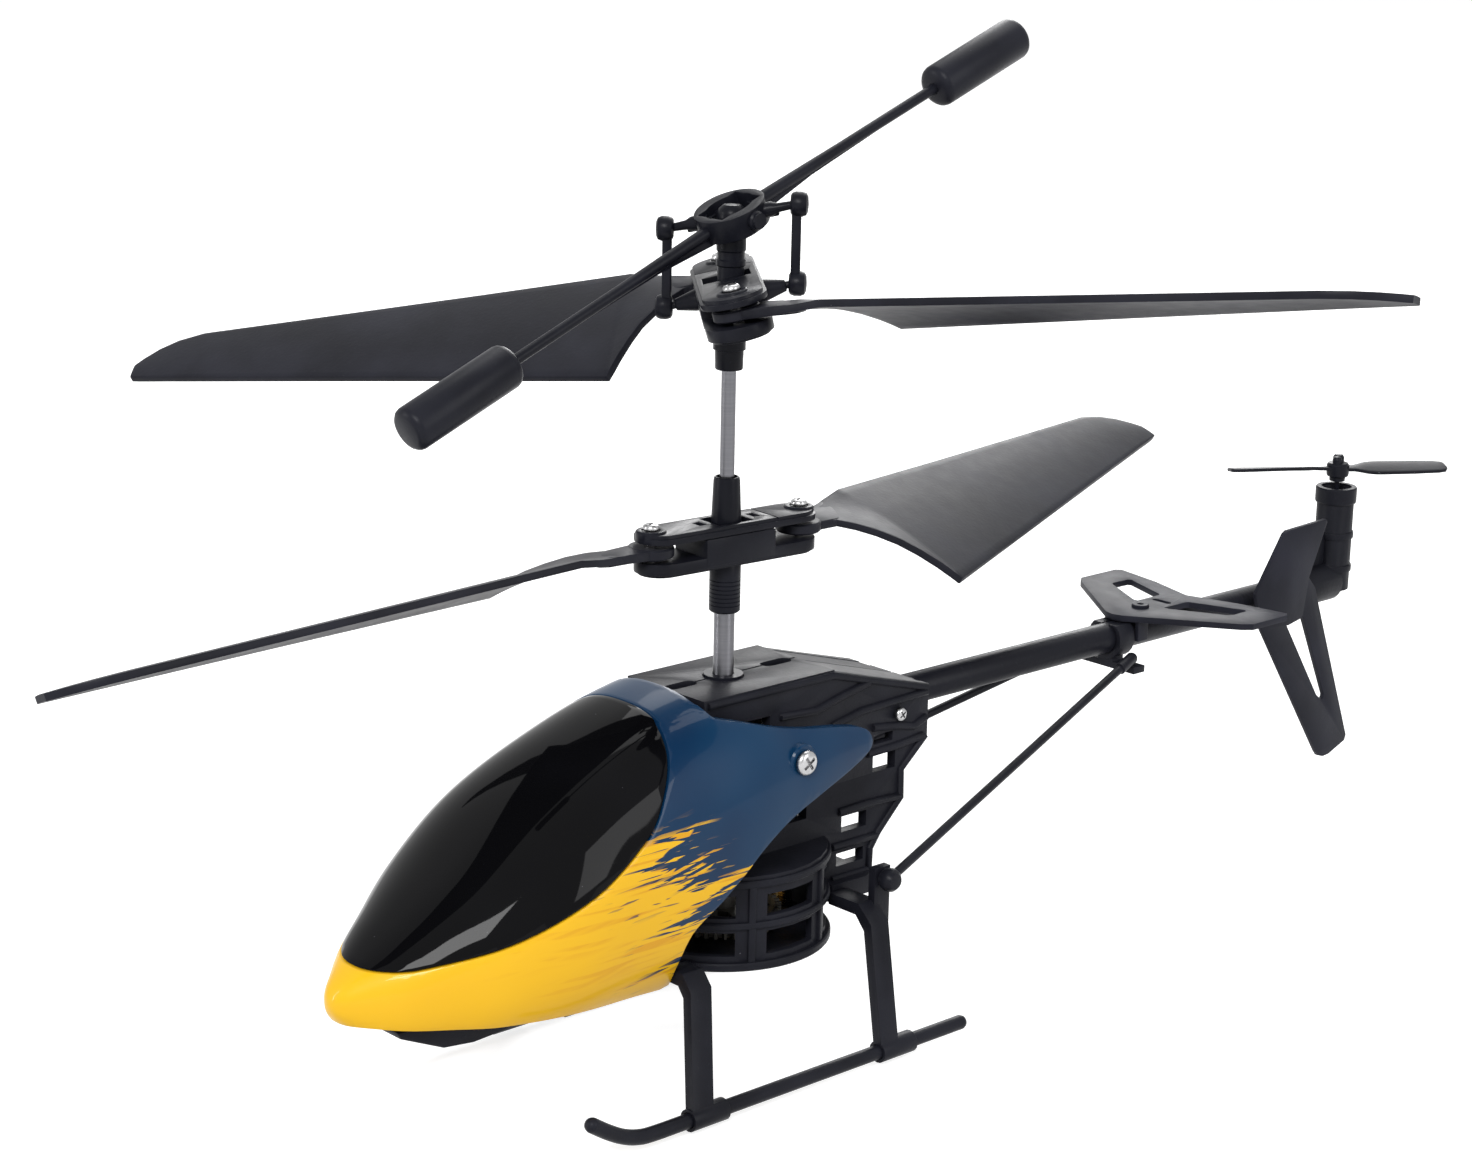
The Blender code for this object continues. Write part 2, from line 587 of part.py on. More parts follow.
def build_frame():
    """Frame halves, bushes, screws, battery tray and electronics."""
    left = frame_half()
    right = mirrored(left)
    finish(left, "frame_left", "black", smooth=False)
    finish(right, "frame_right", "black", smooth=False)
    finish(tube("bush", DECK_BUSH_R, TUBE_R + BORE_GAP, DECK_TOP - 2.6, DECK_TOP + 0.3), "deck_bush", "brass")
    finish(tube("bush", LOW_BUSH_R, INNER_SHAFT_R + BORE_GAP, CAGE_LOW - 0.4, CAGE_LOW + 1.4), "lower_bush", "brass")

    clamp_seat = DECK_HALF_WIDTH + SEAT_GAP
    clamp = joined(
        rod("shank", (1.0, CLAMP_SCREW_Y, CLAMP_SCREW_Z), (clamp_seat + 0.4, CLAMP_SCREW_Y, CLAMP_SCREW_Z), CLAMP_SCREW_SHANK_R),
        rod("head", (clamp_seat, CLAMP_SCREW_Y, CLAMP_SCREW_Z), (clamp_seat + 0.8, CLAMP_SCREW_Y, CLAMP_SCREW_Z), CLAMP_SCREW_HEAD_R))
    twin = mirrored(clamp)
    finish(clamp, "clamp_screw_left", "silver")
    finish(twin, "clamp_screw_right", "silver")
    spot = (CANOPY_SCREW_Y, CANOPY_SCREW_Z)
    screw = joined(
        rod("shank", (8.6, *spot), (CANOPY_SCREW_SEAT + 0.5, *spot), CANOPY_SCREW_SHANK_R),
        rod("head", (CANOPY_SCREW_SEAT, *spot), (CANOPY_SCREW_SEAT + 0.9, *spot), CANOPY_SCREW_HEAD_R, 24))
    twin = mirrored(screw)
    finish(screw, "canopy_screw_left", "silver")
    finish(twin, "canopy_screw_right", "silver")

    tray_low = 17.0
    tray_top = 18.0
    tray = block("tray", (-7.2, 7.2), (-44.0, -CAGE_R - SEAT_GAP), (tray_low, tray_top))
    joined(tray, block("ears", (-11.2, 11.2), FRONT_LEG, (tray_low, tray_top)))
    joined(tray, block("stop", (-7.2, 7.2), (-44.0, -43.0), (tray_low + 0.2, tray_top + 4.0)))
    chin = [(-56.6, 17.6), (-56.0, 16.6), (-49.5, 13.7), (-45.0, 13.2), (-38.0, 13.6), (-38.0, 17.5)]
    joined(tray, side_prism("chin", chin, -5.0, 5.0))
    finish(tray, "battery_tray", "black", smooth=False)
    cell_low = tray_top + SEAT_GAP
    finish(block("cell", (-7.6, 7.6), (-42.4, -21.0), (cell_low, cell_low + 8.0)), "battery", "foil", smooth=False)
    board = block("board", (-9.0, 9.0), (-45.0, -21.0), (30.0, 31.0))
    joined(board, block("chip", (-3.0, 3.0), (-38.0, -32.0), (30.5, 32.2)))
    joined(board, block("plug", (-6.5, -1.5), (-25.5, -22.0), (30.5, 34.0)))
    finish(board, "circuit_board", "green", smooth=False)
    switch_top = tray_low - SEAT_GAP
    switch = block("switch", (2.5, 7.5), (-33.0, -24.0), (switch_top - 2.4, switch_top))
    cut(switch, block("slot", (3.9, 6.1), (-31.6, -25.4), (switch_top - 4.0, switch_top - 1.0)))
    finish(switch, "switch_body", "steel", smooth=False)
    slider = block("slider", (4.2, 5.8), (-31.2, -28.8), (switch_top - 3.6, switch_top - 1.3))
    finish(slider, "switch_slider", "black", (5.0, -30.0, switch_top - 2.4), smooth=False)


def canopy_section(half_width, low, high, y, steps=20):
    """Rounded box section of the canopy at one station."""
    middle = (low + high) / 2
    half_height = (high - low) / 2
    points = []
    for i in range(steps):
        angle = 2 * math.pi * i / steps
        c = math.cos(angle)
        s = math.sin(angle)
        x = half_width * math.copysign(abs(c) ** (2 / CANOPY_POWER), c)
        z = middle + half_height * math.copysign(abs(s) ** (2 / CANOPY_POWER), s)
        points.append((x, y, z))
    return points


def canopy_body(name, inset):
    """Closed canopy form, drawn in by the inset all round."""
    nose_y, nose_z = CANOPY_NOSE
    tip = max(0.6, CANOPY_TIP - inset)
    sections = [canopy_section(tip, nose_z - tip, nose_z + tip, nose_y + inset)]
    for y, half_width, low, high in CANOPY_STATIONS:
        shift = inset * max(0.0, (-50.0 - y) / 10.0)
        sections.append(canopy_section(half_width - inset, low + inset, high - inset, y + shift))
    return loft(name, sections)


def build_canopy():
    """Canopy shell and windshield, cut from one hollow form."""
    glass_edge = [
        (-80.0, 25.8), (-62.0, 25.6), (-57.4, 25.7), (-53.2, 26.5), (-48.7, 27.7), (-43.4, 29.3), (-38.0, 31.3),
        (-32.5, 33.7), (-27.8, 36.5), (-24.4, 39.1), (-21.5, 42.9), (-19.4, 46.1), (-18.0, 49.0), (-17.2, 51.0),
        (-17.0, 60.0), (-80.0, 60.0)]
    open_side = [
        (-70.0, 19.4), (-63.0, 19.0), (-40.0, 17.5), (-21.0, 16.2), (-19.8, 16.6), (-19.9, 19.7), (-18.3, 24.0),
        (-13.7, 27.2), (-10.0, 30.1), (-6.5, 33.0), (-1.9, 35.6), (4.4, 37.7), (10.1, 39.4), (14.0, 41.0),
        (14.8, 42.6), (13.6, 44.0), (8.8, 45.1), (0.7, 46.4), (-6.5, 48.4), (-9.3, 49.1), (-10.5, 49.5),
        (-11.1, 50.6), (-11.6, 52.0), (-11.6, 60.0), (40.0, 60.0), (40.0, 0.0), (-70.0, 0.0)]
    shell = cut(canopy_body("shell", 0.0), canopy_body("hollow", CANOPY_WALL))
    cut(shell, side_prism("open", open_side, -40.0, 40.0))
    glass = shell.copy()
    glass.data = shell.data.copy()
    bpy.context.scene.collection.objects.link(glass)
    half = SEAT_GAP / 2
    kept(glass, shifted(side_prism("pane", glass_edge, -40.0, 40.0), 0.0, -half, half))
    cut(shell, shifted(side_prism("pane", glass_edge, -40.0, 40.0), 0.0, half, -half))
    bore = CANOPY_SCREW_SHANK_R + SEAT_GAP
    spot = (CANOPY_SCREW_Y, CANOPY_SCREW_Z)
    for side in (1, -1):
        seat = side * (CANOPY_SCREW_SEAT - SEAT_GAP)
        joined(shell, rod("boss", (seat - side * CANOPY_BOSS, *spot), (seat, *spot), CANOPY_BOSS_R, 20))
    cut(shell, rod("bore", (-30, *spot), (30, *spot), bore))
    finish(shell, "canopy_shell", "blue")
    finish(glass, "windshield", "gloss")


def build_tail():
    """Boom, struts, tail surfaces, tail motor and tail rotor."""
    boom = cut(
        rod("boom", (0, BOOM_FRONT, BOOM_Z), (0, BOOM_REAR, BOOM_Z), BOOM_R, 24),
        rod("bore", (0, BOOM_FRONT - 5, BOOM_Z), (0, BOOM_REAR + 5, BOOM_Z), BOOM_R - 0.5, 24))
    finish(boom, "tail_boom", "black")

    socket_bore = BOOM_R + BORE_GAP
    housing = turned("housing", [(TAIL_TUBE_R, TAIL_TUBE_LOW - 1.4), (TAIL_TUBE_R, TAIL_TUBE_TOP)])
    shifted(housing, 0.0, TAIL_Y, 0.0)
    joined(housing, rod("socket", (0, 118.5, BOOM_Z), (0, TAIL_Y - 0.8, BOOM_Z), TAIL_SOCKET_R, 20))
    cut(housing, rod("bore", (0, 110, BOOM_Z), (0, BOOM_REAR + SEAT_GAP, BOOM_Z), socket_bore, 24))
    well = turned("well", [(TAIL_TUBE_BORE_R, TAIL_TUBE_LOW + 0.8), (TAIL_TUBE_BORE_R, TAIL_TUBE_TOP + 5)])
    cut(housing, shifted(well, 0.0, TAIL_Y, 0.0))
    for low, high in ((45.6, 49.0), (50.6, 54.0)):
        cut(housing, block("window", (-1.3, 1.3), (TAIL_Y + 1.0, TAIL_Y + 6.0), (low, high)))
    finish(housing, "tail_motor_housing", "black")
    motor_low = TAIL_TUBE_LOW + 1.2
    motor_top = TAIL_TUBE_TOP - 0.6
    motor = turned("motor", [(TAIL_MOTOR_R, motor_low), (TAIL_MOTOR_R, motor_top)])
    bore_r = TAIL_SHAFT_R + BORE_GAP
    cut(motor, turned("bore", [(bore_r, motor_top - 3.0), (bore_r, motor_top + 1.0)], 12))
    finish(shifted(motor, 0.0, TAIL_Y, 0.0), "tail_motor", "steel")

    rotor = turned("hub", [(1.5, TAIL_ROTOR_Z - 1.4), (1.7, TAIL_ROTOR_Z - 0.8), (1.7, TAIL_ROTOR_Z + 0.9),
                           (1.0, TAIL_ROTOR_Z + 1.5)])
    joined(rotor, turned("stem", [(TAIL_SHAFT_R, motor_top - 2.6), (TAIL_SHAFT_R, TAIL_ROTOR_Z)], 12))
    for side in (0, 180):
        sections = []
        for s, lead, trail, pitch, thick in ((1.0, 1.0, -1.0, 0, 1.3), (4.0, 1.5, -1.6, 16, 0.8),
                                             (12.0, 1.9, -2.0, 12, 0.7), (16.2, 1.4, -1.6, 10, 0.6),
                                             (TAIL_ROTOR_R, 0.5, -0.7, 10, 0.5)):
            sections.append(blade_section(s, lead, trail, pitch, thick, 1.0, 0.0))
        blade = shifted(loft("blade", sections), 0.0, 0.0, TAIL_ROTOR_Z)
        joined(rotor, turned_about(blade, TAIL_ROTOR_AZIMUTH + side, (0, 0, 1), (0, 0, 0)))
    pivot = (0.0, TAIL_Y, TAIL_ROTOR_Z)
    finish(shifted(rotor, 0.0, TAIL_Y, 0.0), "tail_rotor", "black", pivot)

    half = [(0.0, 77.2), (16.8, 88.9), (16.6, 97.8), (8.0, 96.4), (0.0, 94.0)]
    outline = half + [(-x, y) for x, y in reversed(half[1:-1])]
    stab = prism("stab", outline, STAB_LOW, STAB_LOW + STAB_THICK)
    for side in (1, -1):
        hole = [(2.6 * side, 85.6), (11.6 * side, 90.4), (11.4 * side, 94.4), (2.6 * side, 91.0)]
        cut(stab, prism("hole", hole, STAB_LOW - 1.0, STAB_LOW + 2.0))
    for side in (1, -1):
        spans = sorted((side * (BOOM_R + 0.4), side * (BOOM_R + 1.1)))
        joined(stab, block("clip", spans, (79.4, 81.6), (BOOM_Z - 0.6, STAB_LOW + 0.4)))
    finish(stab, "stabiliser", "black", smooth=False)

    fin_side = TAIL_SOCKET_R + SEAT_GAP
    fin_outline = [
        (112.2, 53.6), (122.3, 54.0), (118.4, 45.2), (120.2, 43.4), (131.0, 16.8), (129.0, 15.4), (125.5, 14.9),
        (123.4, 15.6), (107.4, 38.9), (105.6, 44.6)]
    fin = side_prism("fin", fin_outline, fin_side, fin_side + FIN_THICK)
    opening = [(113.4, 38.4), (117.4, 39.1), (124.4, 24.6), (122.4, 25.4)]
    cut(fin, side_prism("opening", opening, fin_side - 2.0, fin_side + 3.0))
    finish(fin, "vertical_fin", "black", smooth=False)

    clamp = cut(
        rod("ring", (0, STRUT_CLAMP_Y - 1.6, BOOM_Z), (0, STRUT_CLAMP_Y + 1.6, BOOM_Z), BOOM_R + 0.9, 24),
        rod("bore", (0, STRUT_CLAMP_Y - 5, BOOM_Z), (0, STRUT_CLAMP_Y + 5, BOOM_Z), BOOM_R + BORE_GAP, 24))
    low = BOOM_Z - BOOM_R - 2.2
    joined(clamp, block("lug", (-5.6, 5.6), (STRUT_CLAMP_Y - 1.2, STRUT_CLAMP_Y + 1.2), (low, low + 1.0)))
    joined(clamp, block("neck", (-1.4, 1.4), (STRUT_CLAMP_Y - 1.2, STRUT_CLAMP_Y + 1.2), (low + 0.5, low + 1.7)))
    top = STAB_LOW - SEAT_GAP
    cut(clamp, block("top", (-9, 9), (STRUT_CLAMP_Y - 5, STRUT_CLAMP_Y + 5), (top, top + 9)))
    finish(clamp, "strut_clamp", "black", smooth=False)
    eye = Vector(STRUT_EYE)
    strut = rod("strut", eye, STRUT_END, STRUT_R, 12)
    joined(strut, rod("eye", eye - Vector((0.5, 0, 0)), eye + Vector((0.5, 0, 0)), 1.5, 18))
    cut(strut, rod("hole", eye - Vector((3, 0, 0)), eye + Vector((3, 0, 0)), 0.6, 12))
    twin = mirrored(strut)
    finish(strut, "strut_left", "black")
    finish(twin, "strut_right", "black")


def build_landing_gear():
    """Skid rods and the four legs that clip on to them."""
    track = SKID_HALF_TRACK
    path = [(-38.2, 5.2), (-36.0, 3.9), (-33.6, 2.7), (-31.4, 1.9), (-29.0, SKID_Z), (-10.0, SKID_Z), (27.0, SKID_Z)]
    skid = swept("skid", [(track, y, z) for y, z in path], SKID_R)
    twin = mirrored(skid)
    finish(skid, "skid_left", "black")
    finish(twin, "skid_right", "black")
    front_leg = [
        (11.5, 18.6), (14.6, 18.6), (16.7, 16.8), (20.7, 2.4), (19.3, 2.4), (15.5, 15.8), (14.2, 17.0), (11.5, 17.0)]
    rear_leg = [
        (BRACKET_SIDE + SEAT_GAP, 20.8), (15.2, 20.8), (17.7, 18.6), (20.8, 2.4), (19.3, 2.4), (16.4, 17.4), (14.7, 19.2), (BRACKET_SIDE + SEAT_GAP, 19.2)]
    for name, outline, span, collar in (
        ("leg_front", front_leg, FRONT_LEG, FRONT_COLLAR),
        ("leg_rear", rear_leg, REAR_LEG, REAR_COLLAR),
    ):
        leg = front_prism("leg", outline, span[0], span[1])
        rake = FRONT_RAKE if name == "leg_front" else REAR_RAKE
        for vertex in leg.data.vertices:
            vertex.co.y -= rake * (LEG_TOP * MM - vertex.co.z)
        joined(leg, rod("collar", (track, collar[0], SKID_Z), (track, collar[1], SKID_Z), COLLAR_R, 16))
        if name == "leg_rear":
            top = STRUT_EYE[2] + 1.4
            lug = (STRUT_EYE[0] - 2.4, STRUT_EYE[0] - 1.2)
            joined(leg, block("lug", lug, (STRUT_EYE[1] - 1.4, STRUT_EYE[1] + 1.4), (17.4, top)))
        bore = SKID_R + BORE_GAP
        cut(leg, rod("bore", (track, collar[0] - 5, SKID_Z), (track, collar[1] + 5, SKID_Z), bore, 14))
        twin = mirrored(leg)
        finish(leg, name + "_left", "black", smooth=False)
        finish(twin, name + "_right", "black", smooth=False)


def blade_section(s, lead, trail, pitch, thick, lead_side, droop):
    """Thin aerofoil at a distance along the blade; lead_side is the y side of the leading edge."""
    chord = lead - trail
    shape = ((0.0, 0.0), (0.12, 0.36), (0.35, 0.5), (0.7, 0.36), (1.0, 0.14),
             (1.0, -0.14), (0.7, -0.3), (0.35, -0.4), (0.12, -0.3))
    c = math.cos(math.radians(pitch))
    sine = math.sin(math.radians(pitch))
    drop = s * math.tan(math.radians(droop))
    points = []
    for along, height in shape:
        v = lead - along * chord
        h = height * thick
        points.append((s, lead_side * (v * c - h * sine), v * sine + h * c - drop))
    return points


def main_blade(lead_side, droop):
    """One main blade with its screw at the origin and its span along x."""
    sections = [blade_section(s, lead, trail, pitch, thick, lead_side, droop)
                for s, lead, trail, pitch, thick in BLADE_STATIONS]
    blade = loft("blade", sections)
    root = turned("root", [(ROOT_R, -ROOT_THICK / 2), (ROOT_R, ROOT_THICK / 2)], 24)
    joined(root, blade)
    bore = BLADE_SCREW_R + BORE_GAP
    cut(root, turned("bore", [(bore, -4.0), (bore, 4.0)], 16))
    return root


def hub_plates(half_length, half_width, open_u, open_v):
    """Lower plate with its middle block, and the cap, about the blade plane with the bar along x."""
    seat = ROOT_THICK / 2 + ROOT_GAP
    low = -seat - HUB_PLATE
    plate = prism("plate", stadium(half_length, half_width), low, -seat)
    middle = (low + 0.4, seat - SEAT_GAP)
    joined(plate, block("middle", (-HUB_BLOCK_HALF, HUB_BLOCK_HALF), (-half_width, half_width), middle))
    cap = prism("cap", stadium(half_length, half_width), seat, seat + HUB_CAP)
    bore = BLADE_SCREW_R + BORE_GAP
    for side in (1, -1):
        x = side * BLADE_SCREW_RADIUS
        pad = turned("pad", [(HUB_PAD_R, seat + HUB_CAP - 0.4), (HUB_PAD_R, seat + HUB_CAP + HUB_PAD)], 16)
        joined(cap, shifted(pad, x, 0, 0))
        for piece in (plate, cap):
            cut(piece, shifted(turned("bore", [(bore, low - 9), (bore, seat + 9)], 12), x, 0, 0))
    for piece in (plate, cap):
        cut(piece, block("opening", (-open_u, open_u), (-open_v, open_v), (-9, 9)))
    return plate, cap


def blade_screw(side):
    """Screw through cap, root and plate, with its head on the cap's pad."""
    seat = ROOT_THICK / 2 + ROOT_GAP
    low = -seat - HUB_PLATE + 0.3
    top = seat + HUB_CAP + HUB_PAD + SEAT_GAP
    screw = turned("screw", [
        (BLADE_SCREW_R, low), (BLADE_SCREW_R, top), (BLADE_SCREW_HEAD_R, top), (BLADE_SCREW_HEAD_R, top + 0.5),
        (BLADE_SCREW_HEAD_R - 0.35, top + 0.8)], 14)
    return shifted(screw, side * BLADE_SCREW_RADIUS, 0, 0)


def build_lower_rotor():
    """Mast sleeve with trunnions, teetering hub, cap, screws and two folding blades."""
    teeter_z = LOWER_BLADE_Z - LOWER_TEETER_DROP
    mast = turned("mast", [
        (LOWER_MAST_R + 0.1, LOWER_MAST_LOW), (LOWER_MAST_R + 0.1, 65.7), (LOWER_MAST_R, 66.0),
        (LOWER_MAST_R, 72.4), (LOWER_MAST_R - 0.2, LOWER_MAST_TOP)])
    reach = HUB_HALF_WIDTH - 0.1
    joined(mast, rod("trunnion", (0, -reach, teeter_z), (0, reach, teeter_z), TRUNNION_R, 16))
    bore = TUBE_R + BORE_GAP
    cut(mast, turned("bore", [(bore, LOWER_MAST_LOW - 2), (bore, LOWER_MAST_TOP + 2)]))
    finish(turned_about(mast, LOWER_AZIMUTH, (0, 0, 1), (0, 0, 0)), "lower_mast", "black")

    def seated(obj, name, material, place=(0.0, 0.0, -LOWER_TEETER_DROP), smooth=True):
        turned_about(obj, LOWER_AZIMUTH, (0, 0, 1), (0, 0, 0))
        spot = Matrix.Rotation(math.radians(LOWER_AZIMUTH), 4, "Z") @ Vector(place)
        shifted(obj, 0, 0, LOWER_BLADE_Z)
        return finish(obj, name, material, tuple(spot + Vector((0, 0, LOWER_BLADE_Z))), smooth)

    plate, cap = hub_plates(HUB_HALF_LENGTH, HUB_HALF_WIDTH, 2.8, LOWER_MAST_R + SEAT_GAP)
    bore = TRUNNION_R + BORE_GAP
    cut(plate, rod("bore", (0, -9, -LOWER_TEETER_DROP), (0, 9, -LOWER_TEETER_DROP), bore, 16))
    seated(plate, "lower_hub", "black", smooth=False)
    seated(cap, "lower_hub_cap", "black", smooth=False)
    for name, side, fold, droop in (
        ("left", 0, LOWER_FOLD_LEFT, LOWER_DROOP_LEFT), ("right", 180, LOWER_FOLD_RIGHT, LOWER_DROOP_RIGHT)):
        way = 1 if side == 0 else -1
        seated(blade_screw(way), "lower_blade_screw_" + name, "silver")
        blade = turned_about(main_blade(1.0, droop), side + fold, (0, 0, 1), (0, 0, 0))
        place = (way * BLADE_SCREW_RADIUS, 0, 0)
        seated(shifted(blade, *place), "lower_blade_" + name, "black", place)


def build_upper_rotor():
    """Head post, rolling blade holder and its cap, pin, screws and two folding blades."""
    along = heading(UPPER_AZIMUTH)
    head = turned("head", [
        (1.8, HEAD_LOW), (1.85, 94.0), (2.8, 95.6), (2.8, 96.2), (HEAD_NECK_R, 96.8), (HEAD_NECK_R, 105.0),
        (HEAD_POST_R, 105.6), (HEAD_POST_R, HEAD_TOP - 0.8), (HEAD_POST_R - 0.8, HEAD_TOP)])
    bore = INNER_SHAFT_R + BORE_GAP
    cut(head, turned("bore", [(bore, HEAD_LOW - 1), (bore, HEAD_LOW + HEAD_SOCKET + SEAT_GAP)]))
    pin_bore = HOLDER_PIN_R + BORE_GAP
    axis = Vector((0, 0, HOLDER_Z))
    cut(head, rod("bore", axis - along * 9, axis + along * 9, pin_bore, 10))
    fly_bore = FLYBAR_PIN_R + BORE_GAP
    cut(head, rod("bore", (-9, 0, FLYBAR_Z), (9, 0, FLYBAR_Z), fly_bore, 10))
    finish(head, "rotor_head", "black")
    reach = HUB_BLOCK_HALF - 0.2
    finish(rod("pin", axis - along * reach, axis + along * reach, HOLDER_PIN_R, 14), "holder_pin", "steel", tuple(axis))

    def seated(obj, name, material, place=(0.0, 0.0, 0.0), smooth=True):
        turned_about(obj, HOLDER_ROLL, (1, 0, 0), (0, 0, 0))
        turned_about(obj, UPPER_AZIMUTH, (0, 0, 1), (0, 0, 0))
        spot = Matrix.Rotation(math.radians(UPPER_AZIMUTH), 4, "Z") @ (
            Matrix.Rotation(math.radians(HOLDER_ROLL), 4, "X") @ Vector(place))
        shifted(obj, 0, 0, HOLDER_Z)
        return finish(obj, name, material, tuple(spot + axis), smooth)

    open_v = HOLDER_HALF_WIDTH - HUB_WALL
    plate, cap = hub_plates(BLADE_SCREW_RADIUS + HOLDER_HALF_WIDTH, HOLDER_HALF_WIDTH, HEAD_NECK_R + SEAT_GAP, open_v)
    for side in (1, -1):
        start = side * (HOLDER_HALF_WIDTH - 0.6)
        back = side * (abs(LINK_ACROSS) - STUB_BACK)
        front = side * (abs(LINK_ACROSS) + STUB_FRONT)
        x = -side * LINK_ALONG
        joined(plate, rod("stud", (x, start, 0), (x, back, 0), ARM_R, 8))
        joined(plate, rod("stub", (x, back - side * 0.4, 0), (x, front, 0), STUB_R, 8))
    cut(plate, rod("bore", (-9, 0, 0), (9, 0, 0), pin_bore, 10))
    seated(plate, "upper_blade_holder", "black", smooth=False)
    seated(cap, "upper_holder_cap", "black", smooth=False)
    for name, side, fold, droop in (
        ("left", 180, UPPER_FOLD_LEFT, UPPER_DROOP_LEFT), ("right", 0, UPPER_FOLD_RIGHT, UPPER_DROOP_RIGHT)):
        way = 1 if side == 0 else -1
        seated(blade_screw(way), "upper_blade_screw_" + name, "silver")
        blade = turned_about(main_blade(-1.0, droop), side + fold, (0, 0, 1), (0, 0, 0))
        place = (way * BLADE_SCREW_RADIUS, 0, 0)
        seated(shifted(blade, *place), "upper_blade_" + name, "black", place)


def build_flybar():
    """Flybar with its ring and arms, two weights, the pin and the two links."""
    pivot = (0.0, 0.0, FLYBAR_Z)
    ring_outline = []
    for i in range(20):
        angle = 2 * math.pi * i / 20
        ring_outline.append((RING_HALF_X * math.cos(angle), RING_HALF_Y * math.sin(angle)))
    half = RING_THICK / 2
    bar = prism("ring", ring_outline, -half, half)
    for side in (1, -1):
        arm = rod("bar", (0, side * 3.8, 0), (0, side * FLYBAR_HALF, 0), FLYBAR_R, 12)
        joined(bar, turned_about(arm, -side * FLYBAR_SAG, (1, 0, 0), (0, 0, 0)))
        rib = [(side * 4.0, 0.3), (side * 20.0, 0.1), (side * 20.0, -0.4), (side * 4.0, -1.4)]
        joined(bar, side_prism("rib", rib, -0.45, 0.45))
    outward = heading(LINK_AZIMUTH)
    for side in (1, -1):
        way = outward * side
        joined(bar, rod("arm", way * (RING_HALF_X - 1.2), way * (LINK_R - STUB_BACK), ARM_R, 8))
        joined(bar, rod("stub", way * (LINK_R - STUB_BACK - 0.4), way * (LINK_R + STUB_FRONT), STUB_R, 8))
    cut(bar, block("pocket", (-HEAD_POST_R - 0.4, HEAD_POST_R + 0.4), (-3.3, 3.3), (-9, 9)))
    pin_bore = FLYBAR_PIN_R + BORE_GAP
    cut(bar, rod("bore", (-9, 0, 0), (9, 0, 0), pin_bore, 10))
    turned_about(bar, FLYBAR_TILT, (1, 0, 0), (0, 0, 0))
    finish(shifted(bar, *pivot), "flybar", "black", pivot)

    for name, side in (("front", -1), ("rear", 1)):
        rings = []
        for radius, at in ((WEIGHT_R - 0.7, 0.0), (WEIGHT_R, 0.7), (WEIGHT_R, -0.7), (WEIGHT_R - 0.7, 0.0)):
            end = WEIGHT_NEAR if len(rings) < 2 else WEIGHT_FAR
            rings.append(circle(radius, end + at, 18))
        weight = loft("weight", rings)
        cut(weight, turned("bore", [(FLYBAR_R + BORE_GAP, 20), (FLYBAR_R + BORE_GAP, FLYBAR_HALF + SEAT_GAP)], 12))
        turned_about(weight, 90 if side < 0 else -90, (1, 0, 0), (0, 0, 0))
        turned_about(weight, FLYBAR_TILT - side * FLYBAR_SAG, (1, 0, 0), (0, 0, 0))
        finish(shifted(weight, *pivot), "flybar_weight_" + name, "black", pivot)

    reach = RING_HALF_X + SEAT_GAP
    pin = rod("pin", (-reach - 0.2, 0, FLYBAR_Z), (reach + 0.2, 0, FLYBAR_Z), FLYBAR_PIN_R, 12)
    for side in (1, -1):
        joined(pin, rod("head", (side * reach, 0, FLYBAR_Z), (side * (reach + 0.7), 0, FLYBAR_Z), 1.0, 14))
    finish(pin, "flybar_pin", "black", pivot)

    drop = FLYBAR_Z - HOLDER_Z
    facing = heading((LINK_AZIMUTH + UPPER_AZIMUTH - 90) / 2)
    front = facing * (LINK_THICK / 2)
    foot = Vector((0, 0, -drop))
    for name, side in (("left", 1), ("right", -1)):
        link = rod("eye", -front, front, LINK_EYE_R, 16)
        joined(link, rod("foot", foot - front, foot + front, LINK_EYE_R, 16))
        strap = block("strap", (-0.6, 0.6), (-0.7, 0.7), (-drop + 1.0, -1.0))
        joined(link, turned_about(strap, (LINK_AZIMUTH + UPPER_AZIMUTH - 90) / 2, (0, 0, 1), (0, 0, 0)))
        cut(link, rod("hole", -front * 4, front * 4, LINK_HOLE_R, 12))
        cut(link, rod("hole", foot - front * 4, foot + front * 4, LINK_HOLE_R, 12))
        top = Matrix.Rotation(math.radians(FLYBAR_TILT), 4, "X") @ (outward * (LINK_R * side)) + Vector(pivot)
        finish(shifted(link, top.x, top.y, top.z), "link_" + name, "black", tuple(top))


def main():
    """Build every piece of the helicopter."""
    clear_scene()
    build_drive()
    build_frame()
    build_canopy()
    build_tail()
    build_landing_gear()
    build_lower_rotor()
    build_upper_rotor()
    build_flybar()


main()
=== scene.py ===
"""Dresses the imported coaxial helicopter: moulded plastic, lacquered canopy, ground shafts, studio light.

Pieces are modelled in millimetres about the rotor shaft and are set into the frame, in metres, when
they are finished. The nose points along -Y, the left side is +X and the skids stand on z = 0.
"""
from __future__ import annotations

import logging
import math
from dataclasses import dataclass
from enum import Enum
from typing import Iterable, Sequence, Union

import bpy
from mathutils import Matrix, Vector

